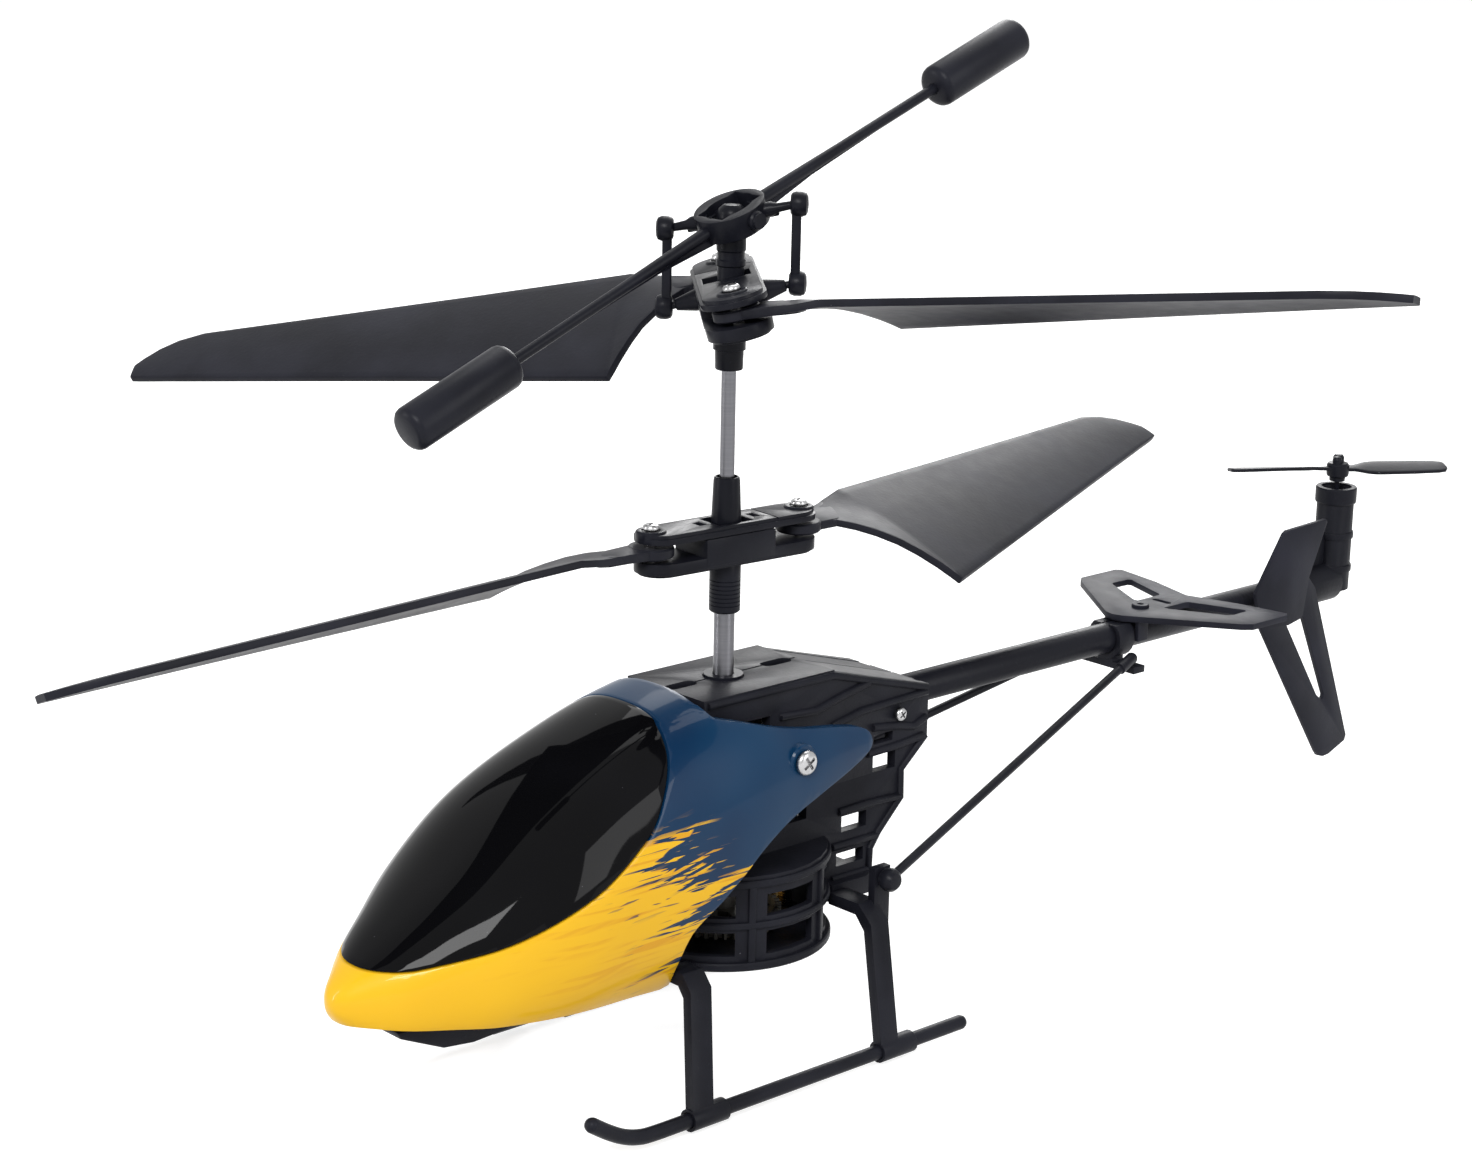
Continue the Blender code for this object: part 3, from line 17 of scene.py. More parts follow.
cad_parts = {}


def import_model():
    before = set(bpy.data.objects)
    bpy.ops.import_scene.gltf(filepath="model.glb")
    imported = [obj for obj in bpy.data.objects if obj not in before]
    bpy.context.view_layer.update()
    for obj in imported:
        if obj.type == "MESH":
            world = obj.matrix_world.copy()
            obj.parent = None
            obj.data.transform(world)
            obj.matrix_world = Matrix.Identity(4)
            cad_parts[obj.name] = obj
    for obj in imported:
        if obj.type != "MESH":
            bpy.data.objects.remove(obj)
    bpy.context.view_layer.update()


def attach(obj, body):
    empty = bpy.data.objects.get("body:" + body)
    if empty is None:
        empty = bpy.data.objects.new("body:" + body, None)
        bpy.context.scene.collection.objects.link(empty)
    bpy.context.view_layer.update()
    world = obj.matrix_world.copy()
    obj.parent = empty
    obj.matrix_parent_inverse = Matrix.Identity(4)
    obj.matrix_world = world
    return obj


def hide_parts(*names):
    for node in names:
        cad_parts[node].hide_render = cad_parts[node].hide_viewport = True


LOG = logging.getLogger("helicopter")

# Metres in a millimetre, the shaft in the frame, the rotor bars' azimuths and the reach of a cutting plate
MM = 0.001
SHAFT_X = -5.56
SHAFT_Y = -24.41
LOWER_AZIMUTH = 266.0
UPPER_AZIMUTH = 321.3
CUTTER_REACH = 40.0

Colour = tuple[float, float, float]
Point2 = tuple[float, float]
Point3 = Sequence[float]
Number = Union[float, "Tone"]


# Shader formulas


class Tone:
    """A number that varies over a surface, with arithmetic, so that a finish reads as a formula."""

    def __init__(self, recipe: "Recipe", socket: bpy.types.NodeSocket) -> None:
        """Keep the socket and the recipe that it belongs to."""
        self.recipe = recipe
        self.socket = socket

    def _math(self, operation: str, first: Number, second: Number = 0.0) -> "Tone":
        """Add one math node.

        Args:
            operation: The node's operation.
            first: Left value.
            second: Right value.

        Returns:
            The node's result.
        """
        node = self.recipe.add("ShaderNodeMath", operation=operation)
        for slot, value in zip(node.inputs, (first, second)):
            self.recipe.feed(slot, value)
        return Tone(self.recipe, node.outputs[0])

    def __add__(self, other: Number) -> "Tone":
        """Sum."""
        return self._math("ADD", self, other)

    __radd__ = __add__

    def __sub__(self, other: Number) -> "Tone":
        """Difference."""
        return self._math("SUBTRACT", self, other)

    def __rsub__(self, other: Number) -> "Tone":
        """Reflected difference."""
        return self._math("SUBTRACT", other, self)

    def __mul__(self, other: Number) -> "Tone":
        """Product."""
        return self._math("MULTIPLY", self, other)

    __rmul__ = __mul__

    def most(self, other: Number) -> "Tone":
        """The larger of the two."""
        return self._math("MAXIMUM", self, other)

    def least(self, other: Number) -> "Tone":
        """The smaller of the two."""
        return self._math("MINIMUM", self, other)

    def floor(self) -> "Tone":
        """Whole steps."""
        return self._math("FLOOR", self)

    def size(self) -> "Tone":
        """Distance from zero."""
        return self._math("ABSOLUTE", self)

    def ramp(self, start: float, end: float, low: float = 0.0, high: float = 1.0) -> "Tone":
        """Eased step from low to high.

        Args:
            start: Where the step begins.
            end: Where the step ends.
            low: Result before the step.
            high: Result after the step.

        Returns:
            The stepped value.
        """
        node = self.recipe.add("ShaderNodeMapRange", interpolation_type="SMOOTHSTEP")
        self.recipe.feed(node.inputs["Value"], self)
        for name, value in (("From Min", start), ("From Max", end), ("To Min", low), ("To Max", high)):
            node.inputs[name].default_value = value
        return Tone(self.recipe, node.outputs["Result"])


class Recipe:
    """One material's node tree, with every node added through the same method."""

    def __init__(self, name: str) -> None:
        """Start an empty Principled material of that name."""
        self.material = bpy.data.materials.new(name)
        self.material.use_nodes = True
        self.tree = self.material.node_tree
        self.shader = self.tree.nodes["Principled BSDF"]

    def add(self, kind: str, **settings: object) -> bpy.types.Node:
        """Add a node.

        Args:
            kind: The node's type name.
            **settings: Properties to set on it.

        Returns:
            The new node.
        """
        node = self.tree.nodes.new(kind)
        for name, value in settings.items():
            setattr(node, name, value)
        return node

    def feed(self, slot: bpy.types.NodeSocket, value: object) -> None:
        """Give an input a constant, a tone or another node's output."""
        if isinstance(value, Tone):
            self.tree.links.new(value.socket, slot)
        elif isinstance(value, bpy.types.NodeSocket):
            self.tree.links.new(value, slot)
        else:
            slot.default_value = value

    def place(self, stretch: Point3 = (1.0, 1.0, 1.0),
              turn: Point3 = (0.0, 0.0, 0.0)) -> bpy.types.NodeSocket:
        """Object coordinates.

        Args:
            stretch: Scale along each axis.
            turn: Rotation in degrees about each axis.

        Returns:
            The mapped coordinates.
        """
        source = self.add("ShaderNodeTexCoord")
        mapping = self.add("ShaderNodeMapping")
        mapping.inputs["Scale"].default_value = stretch
        mapping.inputs["Rotation"].default_value = [math.radians(angle) for angle in turn]
        self.feed(mapping.inputs["Vector"], source.outputs["Object"])
        return mapping.outputs["Vector"]

    def axes(self) -> tuple[Tone, Tone, Tone]:
        """The three object coordinates, in metres."""
        node = self.add("ShaderNodeSeparateXYZ")
        self.feed(node.inputs[0], self.place())
        return tuple(Tone(self, output) for output in node.outputs)

    def grain(self, scale: float, detail: float = 2.0, stretch: Point3 = (1.0, 1.0, 1.0),
              turn: Point3 = (0.0, 0.0, 0.0)) -> Tone:
        """Soft noise from 0 to 1.

        Args:
            scale: Cells per metre.
            detail: Octaves.
            stretch: Scale along each axis.
            turn: Rotation in degrees.

        Returns:
            The noise.
        """
        node = self.add("ShaderNodeTexNoise")
        self.feed(node.inputs["Vector"], self.place(stretch, turn))
        node.inputs["Scale"].default_value = scale
        node.inputs["Detail"].default_value = detail
        return Tone(self, node.outputs["Fac"])

    def line_noise(self, along: Tone) -> Tone:
        """Plain noise along one number.

        Args:
            along: The number that it runs along.

        Returns:
            The noise, from 0 to 1.
        """
        node = self.add("ShaderNodeTexNoise", noise_dimensions="1D")
        self.feed(node.inputs["W"], along)
        node.inputs["Scale"].default_value = 1.0
        node.inputs["Detail"].default_value = 0.0
        return Tone(self, node.outputs["Fac"])

    def specks(self, scale: float, size: float) -> Tone:
        """Sparse round specks of dust.

        Args:
            scale: Cells per metre.
            size: Speck radius as a share of a cell.

        Returns:
            1 on a speck, 0 elsewhere.
        """
        node = self.add("ShaderNodeTexVoronoi", feature="F1")
        self.feed(node.inputs["Vector"], self.place())
        node.inputs["Scale"].default_value = scale
        colour = self.add("ShaderNodeSeparateColor")
        self.feed(colour.inputs[0], node.outputs["Color"])
        chance = Tone(self, colour.outputs[0])
        return Tone(self, node.outputs["Distance"]).ramp(size, size * 0.4) * chance.ramp(0.72, 0.74)

    def blend(self, share: Number, first: object, second: object) -> bpy.types.NodeSocket:
        """Mix two colours.

        Args:
            share: 0 for the first, 1 for the second.
            first: A colour or a colour output.
            second: A colour or a colour output.

        Returns:
            The mixed colour.
        """
        node = self.add("ShaderNodeMix", data_type="RGBA")
        self.feed(node.inputs["Factor"], share)
        for slot, value in ((node.inputs[6], first), (node.inputs[7], second)):
            self.feed(slot, (*value, 1.0) if isinstance(value, tuple) else value)
        return node.outputs[2]

    def relief(self, height: Tone, depth: float, strength: float = 1.0) -> None:
        """Bump the surface.

        Args:
            height: Relief from 0 to 1.
            depth: Its depth in metres.
            strength: How far the bump shows.
        """
        node = self.add("ShaderNodeBump")
        node.inputs["Strength"].default_value = strength
        node.inputs["Distance"].default_value = depth
        self.feed(node.inputs["Height"], height)
        self.feed(self.shader.inputs["Normal"], node.outputs["Normal"])

    def set(self, **values: object) -> None:
        """Set the shader's inputs by name, with underscores for spaces."""
        for name, value in values.items():
            slot = self.shader.inputs[name.replace("_", " ")]
            self.feed(slot, (*value, 1.0) if isinstance(value, tuple) else value)


# Finishes


@dataclass(frozen=True)
class MouldedPlastic:
    """Black moulded plastic with a spark-eroded grain, a faint blue cast and a little dust."""

    name: str
    colour: Colour = (0.0060, 0.0063, 0.0092)
    roughness: float = 0.42
    grain_scale: float = 2600.0
    grain_depth: float = 0.00003
    dust: float = 0.5
    shine: float = 0.085
    flow: Point3 = (1.0, 1.0, 1.0)

    def make(self) -> bpy.types.Material:
        """Build the material."""
        recipe = Recipe(self.name)
        patch = recipe.grain(90.0, 3.0, self.flow)
        fine = recipe.grain(self.grain_scale, 2.0)
        rubbed = recipe.grain(420.0, 4.0, (1.0, 1.0, 0.35))
        lighter = tuple(channel * 1.75 + 0.0012 for channel in self.colour)
        body = recipe.blend(patch.ramp(0.3, 0.75), self.colour, lighter)
        body = recipe.blend((fine - 0.62).ramp(0.0, 0.2) * 0.3, body, (0.022, 0.023, 0.030))
        dust = recipe.specks(260.0, 0.035) * self.dust
        body = recipe.blend(dust, body, (0.22, 0.22, 0.24))
        rough = patch * 0.12 + rubbed * 0.14 + (self.roughness - 0.13) + dust * 0.3
        recipe.set(Base_Color=body, Roughness=rough, Specular_IOR_Level=self.shine)
        recipe.relief(fine * 0.7 + rubbed * 0.3, self.grain_depth, 0.8)
        return recipe.material


@dataclass(frozen=True)
class StreakLacquer:
    """Two-colour lacquer under clear coat: a light front that breaks into streaks over a dark rear."""

    name: str
    front: Colour = (0.72, 0.415, 0.012)
    front_deep: Colour = (0.60, 0.28, 0.010)
    rear: Colour = (0.0036, 0.030, 0.076)
    rear_deep: Colour = (0.0020, 0.019, 0.056)
    tilt: float = 12.0
    edge: float = -0.0335
    reach: float = 0.017

    def make(self) -> bpy.types.Material:
        """Build the material."""
        recipe = Recipe(self.name)
        _, y, z = recipe.axes()
        turn = math.radians(self.tilt)
        along = y * math.cos(turn) + z * math.sin(turn)
        across = z * math.cos(turn) - y * math.sin(turn)
        wide = recipe.line_noise(across * 420.0)
        narrow = recipe.line_noise((across * 2300.0).floor() * 7.31)
        tips = recipe.grain(1.0, 0.0, (500.0, 130.0, 2600.0), (-self.tilt, 0.0, 0.0))
        lean = (across - 0.036) * -0.55
        edge = (wide - 0.5) * self.reach + (narrow - 0.5) * self.reach * 1.1 + lean + self.edge
        gap = along - edge
        flecks = (tips - 0.61).ramp(0.0, 0.02) * gap.ramp(0.006, 0.0)
        chips = (0.40 - tips).ramp(0.0, 0.02) * gap.ramp(-0.012, -0.002)
        light = gap.ramp(0.0003, -0.0003).most(flecks) * (1.0 - chips)
        light = light * across.ramp(0.0485, 0.0465)
        cloud = recipe.grain(60.0, 2.0)
        streak = recipe.grain(1.0, 1.0, (300.0, 60.0, 1500.0), (-self.tilt, 0.0, 0.0))
        warm = (streak - 0.5).ramp(0.0, 0.12) * gap.ramp(-0.03, -0.004)
        front = recipe.blend((cloud * 0.25 + warm * 0.75).least(1.0), self.front, self.front_deep)
        rear = recipe.blend(cloud.ramp(0.3, 0.75), self.rear, self.rear_deep)
        body = recipe.blend(light, rear, front)
        dust = recipe.specks(420.0, 0.045)
        body = recipe.blend(dust * 0.6, body, (0.75, 0.72, 0.62))
        peel = recipe.grain(700.0, 1.0)
        recipe.set(Base_Color=body, Roughness=cloud * 0.08 + 0.30, Coat_Weight=0.2 - dust * 0.15,
                   Coat_Roughness=0.05, Specular_IOR_Level=0.08)
        recipe.relief(peel + light * 0.3, 0.000006, 0.5)
        return recipe.material


@dataclass(frozen=True)
class DarkGloss:
    """Polished black acrylic with fine dust and hair-thin wipe marks."""

    name: str
    colour: Colour = (0.0022, 0.0022, 0.0027)

    def make(self) -> bpy.types.Material:
        """Build the material."""
        recipe = Recipe(self.name)
        cloud = recipe.grain(70.0, 2.0)
        wipe = recipe.grain(1.0, 2.0, (1800.0, 120.0, 900.0), (24.0, 0.0, 0.0))
        dust = recipe.specks(520.0, 0.04)
        body = recipe.blend(dust * 0.55, self.colour, (0.16, 0.16, 0.18))
        body = recipe.blend(cloud.ramp(0.4, 0.8) * 0.5, body, (0.004, 0.004, 0.0052))
        rough = (wipe - 0.6).ramp(0.0, 0.25, 0.045, 0.085) + dust * 0.3
        recipe.set(Base_Color=body, Roughness=rough, Specular_IOR_Level=0.08)
        recipe.relief(cloud + wipe * 0.1, 0.00002, 0.25)
        return recipe.material


@dataclass(frozen=True)
class GroundMetal:
    """Metal with fine grinding or turning rings, and a little haze."""

    name: str
    colour: Colour
    roughness: float = 0.24
    rings: Point3 = (120.0, 120.0, 9000.0)

    def make(self) -> bpy.types.Material:
        """Build the material."""
        recipe = Recipe(self.name)
        line = recipe.grain(1.0, 2.0, self.rings)
        haze = recipe.grain(150.0, 3.0)
        darker = tuple(channel * 0.72 for channel in self.colour)
        body = recipe.blend(line.ramp(0.35, 0.7) * 0.35 + haze * 0.3, self.colour, darker)
        rough = line * 0.1 + haze * 0.12 + (self.roughness - 0.09)
        recipe.set(Base_Color=body, Metallic=1.0, Roughness=rough)
        recipe.relief(line, 0.000002, 0.3)
        return recipe.material


@dataclass(frozen=True)
class NylonInPaintedShade:
    """Natural gear nylon painted darker as the shade of the cage round it, with flow marks."""

    name: str
    # Painted shade: the pale natural nylon is darkened to a grey-beige to stand for the shade inside the
    # cage.
    colour: Colour = (0.085, 0.08, 0.07)

    def make(self) -> bpy.types.Material:
        """Build the material."""
        recipe = Recipe(self.name)
        cloud = recipe.grain(240.0, 3.0)
        fine = recipe.grain(2400.0, 1.0)
        body = recipe.blend(cloud.ramp(0.3, 0.7), self.colour, (0.05, 0.048, 0.042))
        recipe.set(Base_Color=body, Roughness=cloud * 0.15 + 0.38)
        recipe.relief(fine, 0.00001, 0.5)
        return recipe.material


@dataclass(frozen=True)
class BoardMask:
    """Green solder mask with copper tracks showing through as lighter lines."""

    name: str

    def make(self) -> bpy.types.Material:
        """Build the material."""
        recipe = Recipe(self.name)
        x, y, _ = recipe.axes()
        track = ((x * 900.0).floor() * 0.5 - (x * 900.0) * 0.5).size().ramp(0.30, 0.34)
        lane = recipe.line_noise((x * 900.0).floor() * 3.7 + (y * 140.0).floor() * 1.9).ramp(0.48, 0.5)
        cloud = recipe.grain(300.0, 2.0)
        body = recipe.blend(track * lane, (0.012, 0.10, 0.035), (0.04, 0.22, 0.08))
        body = recipe.blend(cloud.ramp(0.6, 0.8) * 0.4, body, (0.008, 0.06, 0.024))
        recipe.set(Base_Color=body, Roughness=cloud * 0.2 + 0.25)
        recipe.relief(track * lane, 0.00002, 0.5)
        return recipe.material


@dataclass(frozen=True)
class PouchFilm:
    """Crinkled silver laminate of a flat cell."""

    name: str

    def make(self) -> bpy.types.Material:
        """Build the material."""
        recipe = Recipe(self.name)
        crease = recipe.grain(320.0, 4.0)
        cloud = recipe.grain(70.0, 2.0)
        body = recipe.blend(cloud.ramp(0.3, 0.7), (0.58, 0.60, 0.64), (0.42, 0.43, 0.47))
        recipe.set(Base_Color=body, Metallic=0.85, Roughness=crease * 0.25 + 0.22)
        recipe.relief(crease, 0.00012, 0.7)
        return recipe.material


class Finish(Enum):
    """The finishes on this helicopter."""

    FRAME = MouldedPlastic("frame_plastic", roughness=0.46, grain_depth=0.00004)
    BLADE = MouldedPlastic("blade_plastic", colour=(0.0075, 0.0078, 0.0112), roughness=0.44,
                           grain_scale=1900.0, grain_depth=0.00003, dust=0.8)
    HUB = MouldedPlastic("hub_plastic", colour=(0.0050, 0.0053, 0.0080), roughness=0.34, grain_depth=0.00002)
    GEAR_LEG = MouldedPlastic("leg_plastic", roughness=0.38)
    BOOM = MouldedPlastic("boom_plastic", roughness=0.36, grain_scale=1300.0, grain_depth=0.00006,
                          flow=(1.0, 0.15, 1.0))
    TAIL = MouldedPlastic("tail_plastic", colour=(0.0090, 0.0094, 0.0140), roughness=0.50,
                          grain_depth=0.00002)
    WEIGHT = MouldedPlastic("weight_plastic", roughness=0.36, grain_depth=0.000015)
    LACQUER = StreakLacquer("canopy_lacquer")
    GLASS = DarkGloss("windshield_gloss")
    STEEL = GroundMetal("ground_steel", (0.15, 0.15, 0.162), 0.3, (60.0, 60.0, 5200.0))
    ZINC = GroundMetal("bright_zinc", (0.45, 0.45, 0.455), 0.26, (900.0, 900.0, 900.0))
    BRASS = GroundMetal("turned_brass", (0.72, 0.50, 0.20), 0.26)
    CAN = GroundMetal("motor_can", (0.62, 0.62, 0.63), 0.32)
    # The gears' nylon carries painted shade, darker than the natural nylon.
    NYLON = NylonInPaintedShade("gear_nylon")
    BOARD = BoardMask("board_mask")
    POUCH = PouchFilm("cell_film")

    def material(self) -> bpy.types.Material:
        """The finish's material, made on its first use."""
        made = bpy.data.materials.get(self.value.name)
        return made if made else self.value.make()


# Modelling bench


class Plane(Enum):
    """Plane that an outline is drawn in; its thickness runs along the third axis."""

    TOP = (0, 1, 2)
    SIDE = (1, 2, 0)

    def point(self, a: float, b: float, depth: float = 0.0) -> Vector:
        """A point of the outline in space."""
        spot = [0.0, 0.0, 0.0]
        for axis, value in zip(self.value, (a, b, depth)):
            spot[axis] = value
        return Vector(spot)


def curve_through(points: Sequence[Point2], steps: int) -> list[Point2]:
    """Smooth open line through points.

    Args:
        points: The points.
        steps: Pieces between two points.

    Returns:
        The finer points.
    """
    last = len(points) - 1
    fine: list[Point2] = []
    for i in range(last):
        a, b, c, d = (points[min(max(i + k, 0), last)] for k in (-1, 0, 1, 2))
        for step in range(steps):
            t = step / steps
            fine.append(tuple(
                0.5 * (2 * q + (r - p) * t + (2 * p - 5 * q + 4 * r - s) * t * t
                       + (3 * q - p - 3 * r + s) * t ** 3)
                for p, q, r, s in zip(a, b, c, d)))
    fine.append(tuple(points[-1]))
    return fine


def ellipse(half_x: float, half_y: float, steps: int) -> list[Point2]:
    """Outline of an ellipse."""
    angles = (2 * math.pi * k / steps for k in range(steps))
    return [(half_x * math.cos(angle), half_y * math.sin(angle)) for angle in angles]


def level(azimuth: float) -> Vector:
    """Level direction at an azimuth in degrees."""
    return Vector((math.cos(math.radians(azimuth)), math.sin(math.radians(azimuth)), 0.0))


def stadium(half_length: float, half_width: float, steps: int = 14) -> list[Point2]:
    """Outline of a bar with round ends along x."""
    points = []
    for side in (1, -1):
        for i in range(steps + 1):
            angle = math.pi * (i / steps - 0.5) + (0.0 if side > 0 else math.pi)
            points.append((side * (half_length - half_width) + half_width * math.cos(angle),
                           half_width * math.sin(angle)))
    return points


class Bench:
    """Modelling steps made with Blender's own operators, in millimetres about the shaft."""

    @staticmethod
    def clear() -> None:
        """Leave edit mode and deselect everything."""
        if bpy.context.object and bpy.context.object.mode != "OBJECT":
            bpy.ops.object.mode_set(mode="OBJECT")
        bpy.ops.object.select_all(action="DESELECT")

    @staticmethod
    def take(piece: bpy.types.Object) -> bpy.types.Object:
        """Select one piece alone and make it active."""
        Bench.clear()
        piece.select_set(True)
        bpy.context.view_layer.objects.active = piece
        return piece

    @staticmethod
    def tidy(piece: bpy.types.Object, distance: float = 0.0005) -> bpy.types.Object:
        """Merge doubled points and turn the faces outwards."""
        Bench.take(piece)
        bpy.ops.object.mode_set(mode="EDIT")
        bpy.ops.mesh.select_all(action="SELECT")
        bpy.ops.mesh.remove_doubles(threshold=distance)
        bpy.ops.mesh.normals_make_consistent(inside=False)
        bpy.ops.object.mode_set(mode="OBJECT")
        return piece

    @staticmethod
    def chain(name: str, points: Iterable[Point3]) -> bpy.types.Object:
        """Draw a line of points, left selected in edit mode.

        Args:
            name: The piece's name.
            points: Its points.

        Returns:
            The piece.
        """
        Bench.clear()
        bpy.ops.mesh.primitive_plane_add(size=1.0, location=(0.0, 0.0, 0.0))
        piece = bpy.context.object
        piece.name = name
        spots = [Vector(point) for point in points]
        bpy.ops.object.mode_set(mode="EDIT")
        bpy.ops.mesh.select_all(action="SELECT")
        bpy.ops.mesh.merge(type="CENTER")
        bpy.ops.transform.translate(value=spots[0])
        for before, after in zip(spots, spots[1:]):
            bpy.ops.mesh.extrude_region_move(TRANSFORM_OT_translate={"value": after - before})
        bpy.ops.mesh.select_all(action="SELECT")
        return piece

    @staticmethod
    def plate(name: str, outline: Sequence[Point2], low: float, high: float,
              plane: Plane = Plane.TOP) -> bpy.types.Object:
        """Fill an outline and extrude it.

        Args:
            name: The piece's name.
            outline: Points round the plate.
            low: Where the plate starts along its thickness.
            high: Where it ends.
            plane: The plane of the outline.

        Returns:
            The closed plate.
        """
        piece = Bench.chain(name, [plane.point(a, b, low) for a, b in outline])
        bpy.ops.mesh.edge_face_add()
        bpy.ops.mesh.select_all(action="SELECT")
        bpy.ops.mesh.extrude_region_move(TRANSFORM_OT_translate={"value": plane.point(0.0, 0.0, high - low)})
        return Bench.tidy(piece)

    @staticmethod
    def lathe(name: str, profile: Sequence[Point2], steps: int = 48) -> bpy.types.Object:
        """Spin a profile of radius and height about z.

        Args:
            name: The piece's name.
            profile: Radius and height of each point, with ends on the axis or back at the start.
            steps: Pieces round the axis.

        Returns:
            The turned piece.
        """
        piece = Bench.chain(name, [(radius, 0.0, height) for radius, height in profile])
        bpy.ops.mesh.spin(steps=steps, angle=2 * math.pi, center=(0.0, 0.0, 0.0), axis=(0.0, 0.0, 1.0))
        return Bench.tidy(piece)

    @staticmethod
    def block(name: str, low: Point3, high: Point3, ease: float = 0.0) -> bpy.types.Object:
        """Box between two corners, with eased edges.

        Args:
            name: The piece's name.
            low: Lowest corner.
            high: Highest corner.
            ease: Width of the rounded edges.

        Returns:
            The box.
        """
        Bench.clear()
        bpy.ops.mesh.primitive_cube_add(size=1.0, location=[(a + b) / 2 for a, b in zip(low, high)],
                                        scale=[b - a for a, b in zip(low, high)])
        piece = bpy.context.object
        piece.name = name
        bpy.ops.object.transform_apply(location=True, rotation=True, scale=True)
        if ease:
            bpy.ops.object.mode_set(mode="EDIT")
            bpy.ops.mesh.select_all(action="SELECT")
            bpy.ops.mesh.bevel(offset=ease, segments=3, affect="EDGES")
            bpy.ops.object.mode_set(mode="OBJECT")
        return piece

    @staticmethod
    def sweep(name: str, path: Sequence[Point3], radius: float, round_steps: int = 6) -> bpy.types.Object:
        """Round bar along a path.

        Args:
            name: The piece's name.
            path: Points of its centre line.
            radius: Its radius.
            round_steps: Fineness of its section.

        Returns:
            The bar, closed at both ends.
        """
        piece = Bench.chain(name, path)
        bpy.ops.object.mode_set(mode="OBJECT")
        bpy.ops.object.convert(target="CURVE")
        piece = bpy.context.object
        piece.data.bevel_depth = radius
        piece.data.bevel_resolution = round_steps
        piece.data.use_fill_caps = True
        bpy.ops.object.convert(target="MESH")
        piece = bpy.context.object
        piece.name = name
        return Bench.tidy(piece)

    @staticmethod
    def put(piece: bpy.types.Object, matrix: Matrix) -> bpy.types.Object:
        """Move a piece and apply the move to its mesh."""
        Bench.take(piece)
        piece.matrix_world = matrix @ piece.matrix_world
        bpy.ops.object.transform_apply(location=True, rotation=True, scale=True)
        return piece

    @staticmethod
    def turn(piece: bpy.types.Object, degrees: float, axis: Point3) -> bpy.types.Object:
        """Turn a piece about an axis through zero."""
        return Bench.put(piece, Matrix.Rotation(math.radians(degrees), 4, Vector(axis)))

    @staticmethod
    def shift(piece: bpy.types.Object, x: float, y: float, z: float) -> bpy.types.Object:
        """Move a piece."""
        return Bench.put(piece, Matrix.Translation((x, y, z)))

    @staticmethod
    def aim(piece: bpy.types.Object, start: Point3, direction: Point3) -> bpy.types.Object:
        """Turn a piece from z to a direction and set its zero at a point."""
        turn = Vector(direction).to_track_quat("Z", "Y").to_matrix().to_4x4()
        return Bench.put(piece, Matrix.Translation(Vector(start)) @ turn)

    @staticmethod
    def twin(piece: bpy.types.Object, name: str) -> bpy.types.Object:
        """Copy of a piece with its own mesh."""
        copy = piece.copy()
        copy.data = piece.data.copy()
        copy.name = name
        bpy.context.scene.collection.objects.link(copy)
        return copy

    @staticmethod
    def mirror(piece: bpy.types.Object, name: str) -> bpy.types.Object:
        """Copy of a piece on the other side of the centre plane."""
        copy = Bench.put(Bench.twin(piece, name), Matrix.Scale(-1.0, 4, (1.0, 0.0, 0.0)))
        return Bench.tidy(copy)

    @staticmethod
    def apply(piece: bpy.types.Object, kind: str, **settings: object) -> bpy.types.Object:
        """Add a modifier and apply it.

        Args:
            piece: The piece.
            kind: The modifier's type.
            **settings: Its properties.

        Returns:
            The piece.
        """
        Bench.take(piece)
        modifier = piece.modifiers.new("step", kind)
        for name, value in settings.items():
            setattr(modifier, name, value)
        bpy.ops.object.modifier_apply(modifier=modifier.name)
        return piece

    @staticmethod
    def ease(piece: bpy.types.Object, width: float, segments: int = 2,
             angle: float = 32.0) -> bpy.types.Object:
        """Round a piece's sharp edges."""
        return Bench.apply(piece, "BEVEL", width=width, segments=segments, limit_method="ANGLE",
                           angle_limit=math.radians(angle), miter_outer="MITER_ARC", harden_normals=False)

    @staticmethod
    def combine(piece: bpy.types.Object, other: bpy.types.Object, operation: str) -> bpy.types.Object:
        """Boolean of two pieces; the second is used up."""
        Bench.apply(piece, "BOOLEAN", operation=operation, solver="EXACT", object=other)
        bpy.data.objects.remove(other)
        return piece

    @staticmethod
    def cut(piece: bpy.types.Object, *tools: bpy.types.Object) -> bpy.types.Object:
        """Cut tools out of a piece."""
        for tool in tools:
            Bench.combine(piece, tool, "DIFFERENCE")
        return piece

    @staticmethod
    def weld(piece: bpy.types.Object, *others: bpy.types.Object) -> bpy.types.Object:
        """Unite pieces into one skin."""
        for other in others:
            Bench.combine(piece, other, "UNION")
        return piece

    @staticmethod
    def gather(piece: bpy.types.Object, *others: bpy.types.Object) -> bpy.types.Object:
        """Join pieces as they are into one object."""
        Bench.take(piece)
        for other in others:
            other.select_set(True)
        bpy.ops.object.join()
        return piece

    @staticmethod
    def from_node(name: str, node: str) -> bpy.types.Object:
        """Copy of a solid, merged, in millimetres about the shaft.

        Args:
            name: The new piece's name.
            node: The solid's name.

        Returns:
            The copy.
        """
        source = bpy.data.objects[node]
        piece = source.copy()
        piece.data = source.data.copy()
        piece.name = name
        piece.parent = None
        bpy.context.scene.collection.objects.link(piece)
        piece.matrix_world = source.matrix_world
        piece.hide_render = False
        Bench.put(piece, Matrix.Scale(1.0 / MM, 4) @ Matrix.Translation((-SHAFT_X * MM, -SHAFT_Y * MM, 0.0)))
        bpy.ops.object.mode_set(mode="EDIT")
        bpy.ops.mesh.select_all(action="SELECT")
        bpy.ops.mesh.remove_doubles(threshold=0.001)
        bpy.ops.mesh.dissolve_limited(angle_limit=math.radians(0.6))
        bpy.ops.mesh.normals_make_consistent(inside=False)
        bpy.ops.object.mode_set(mode="OBJECT")
        return piece

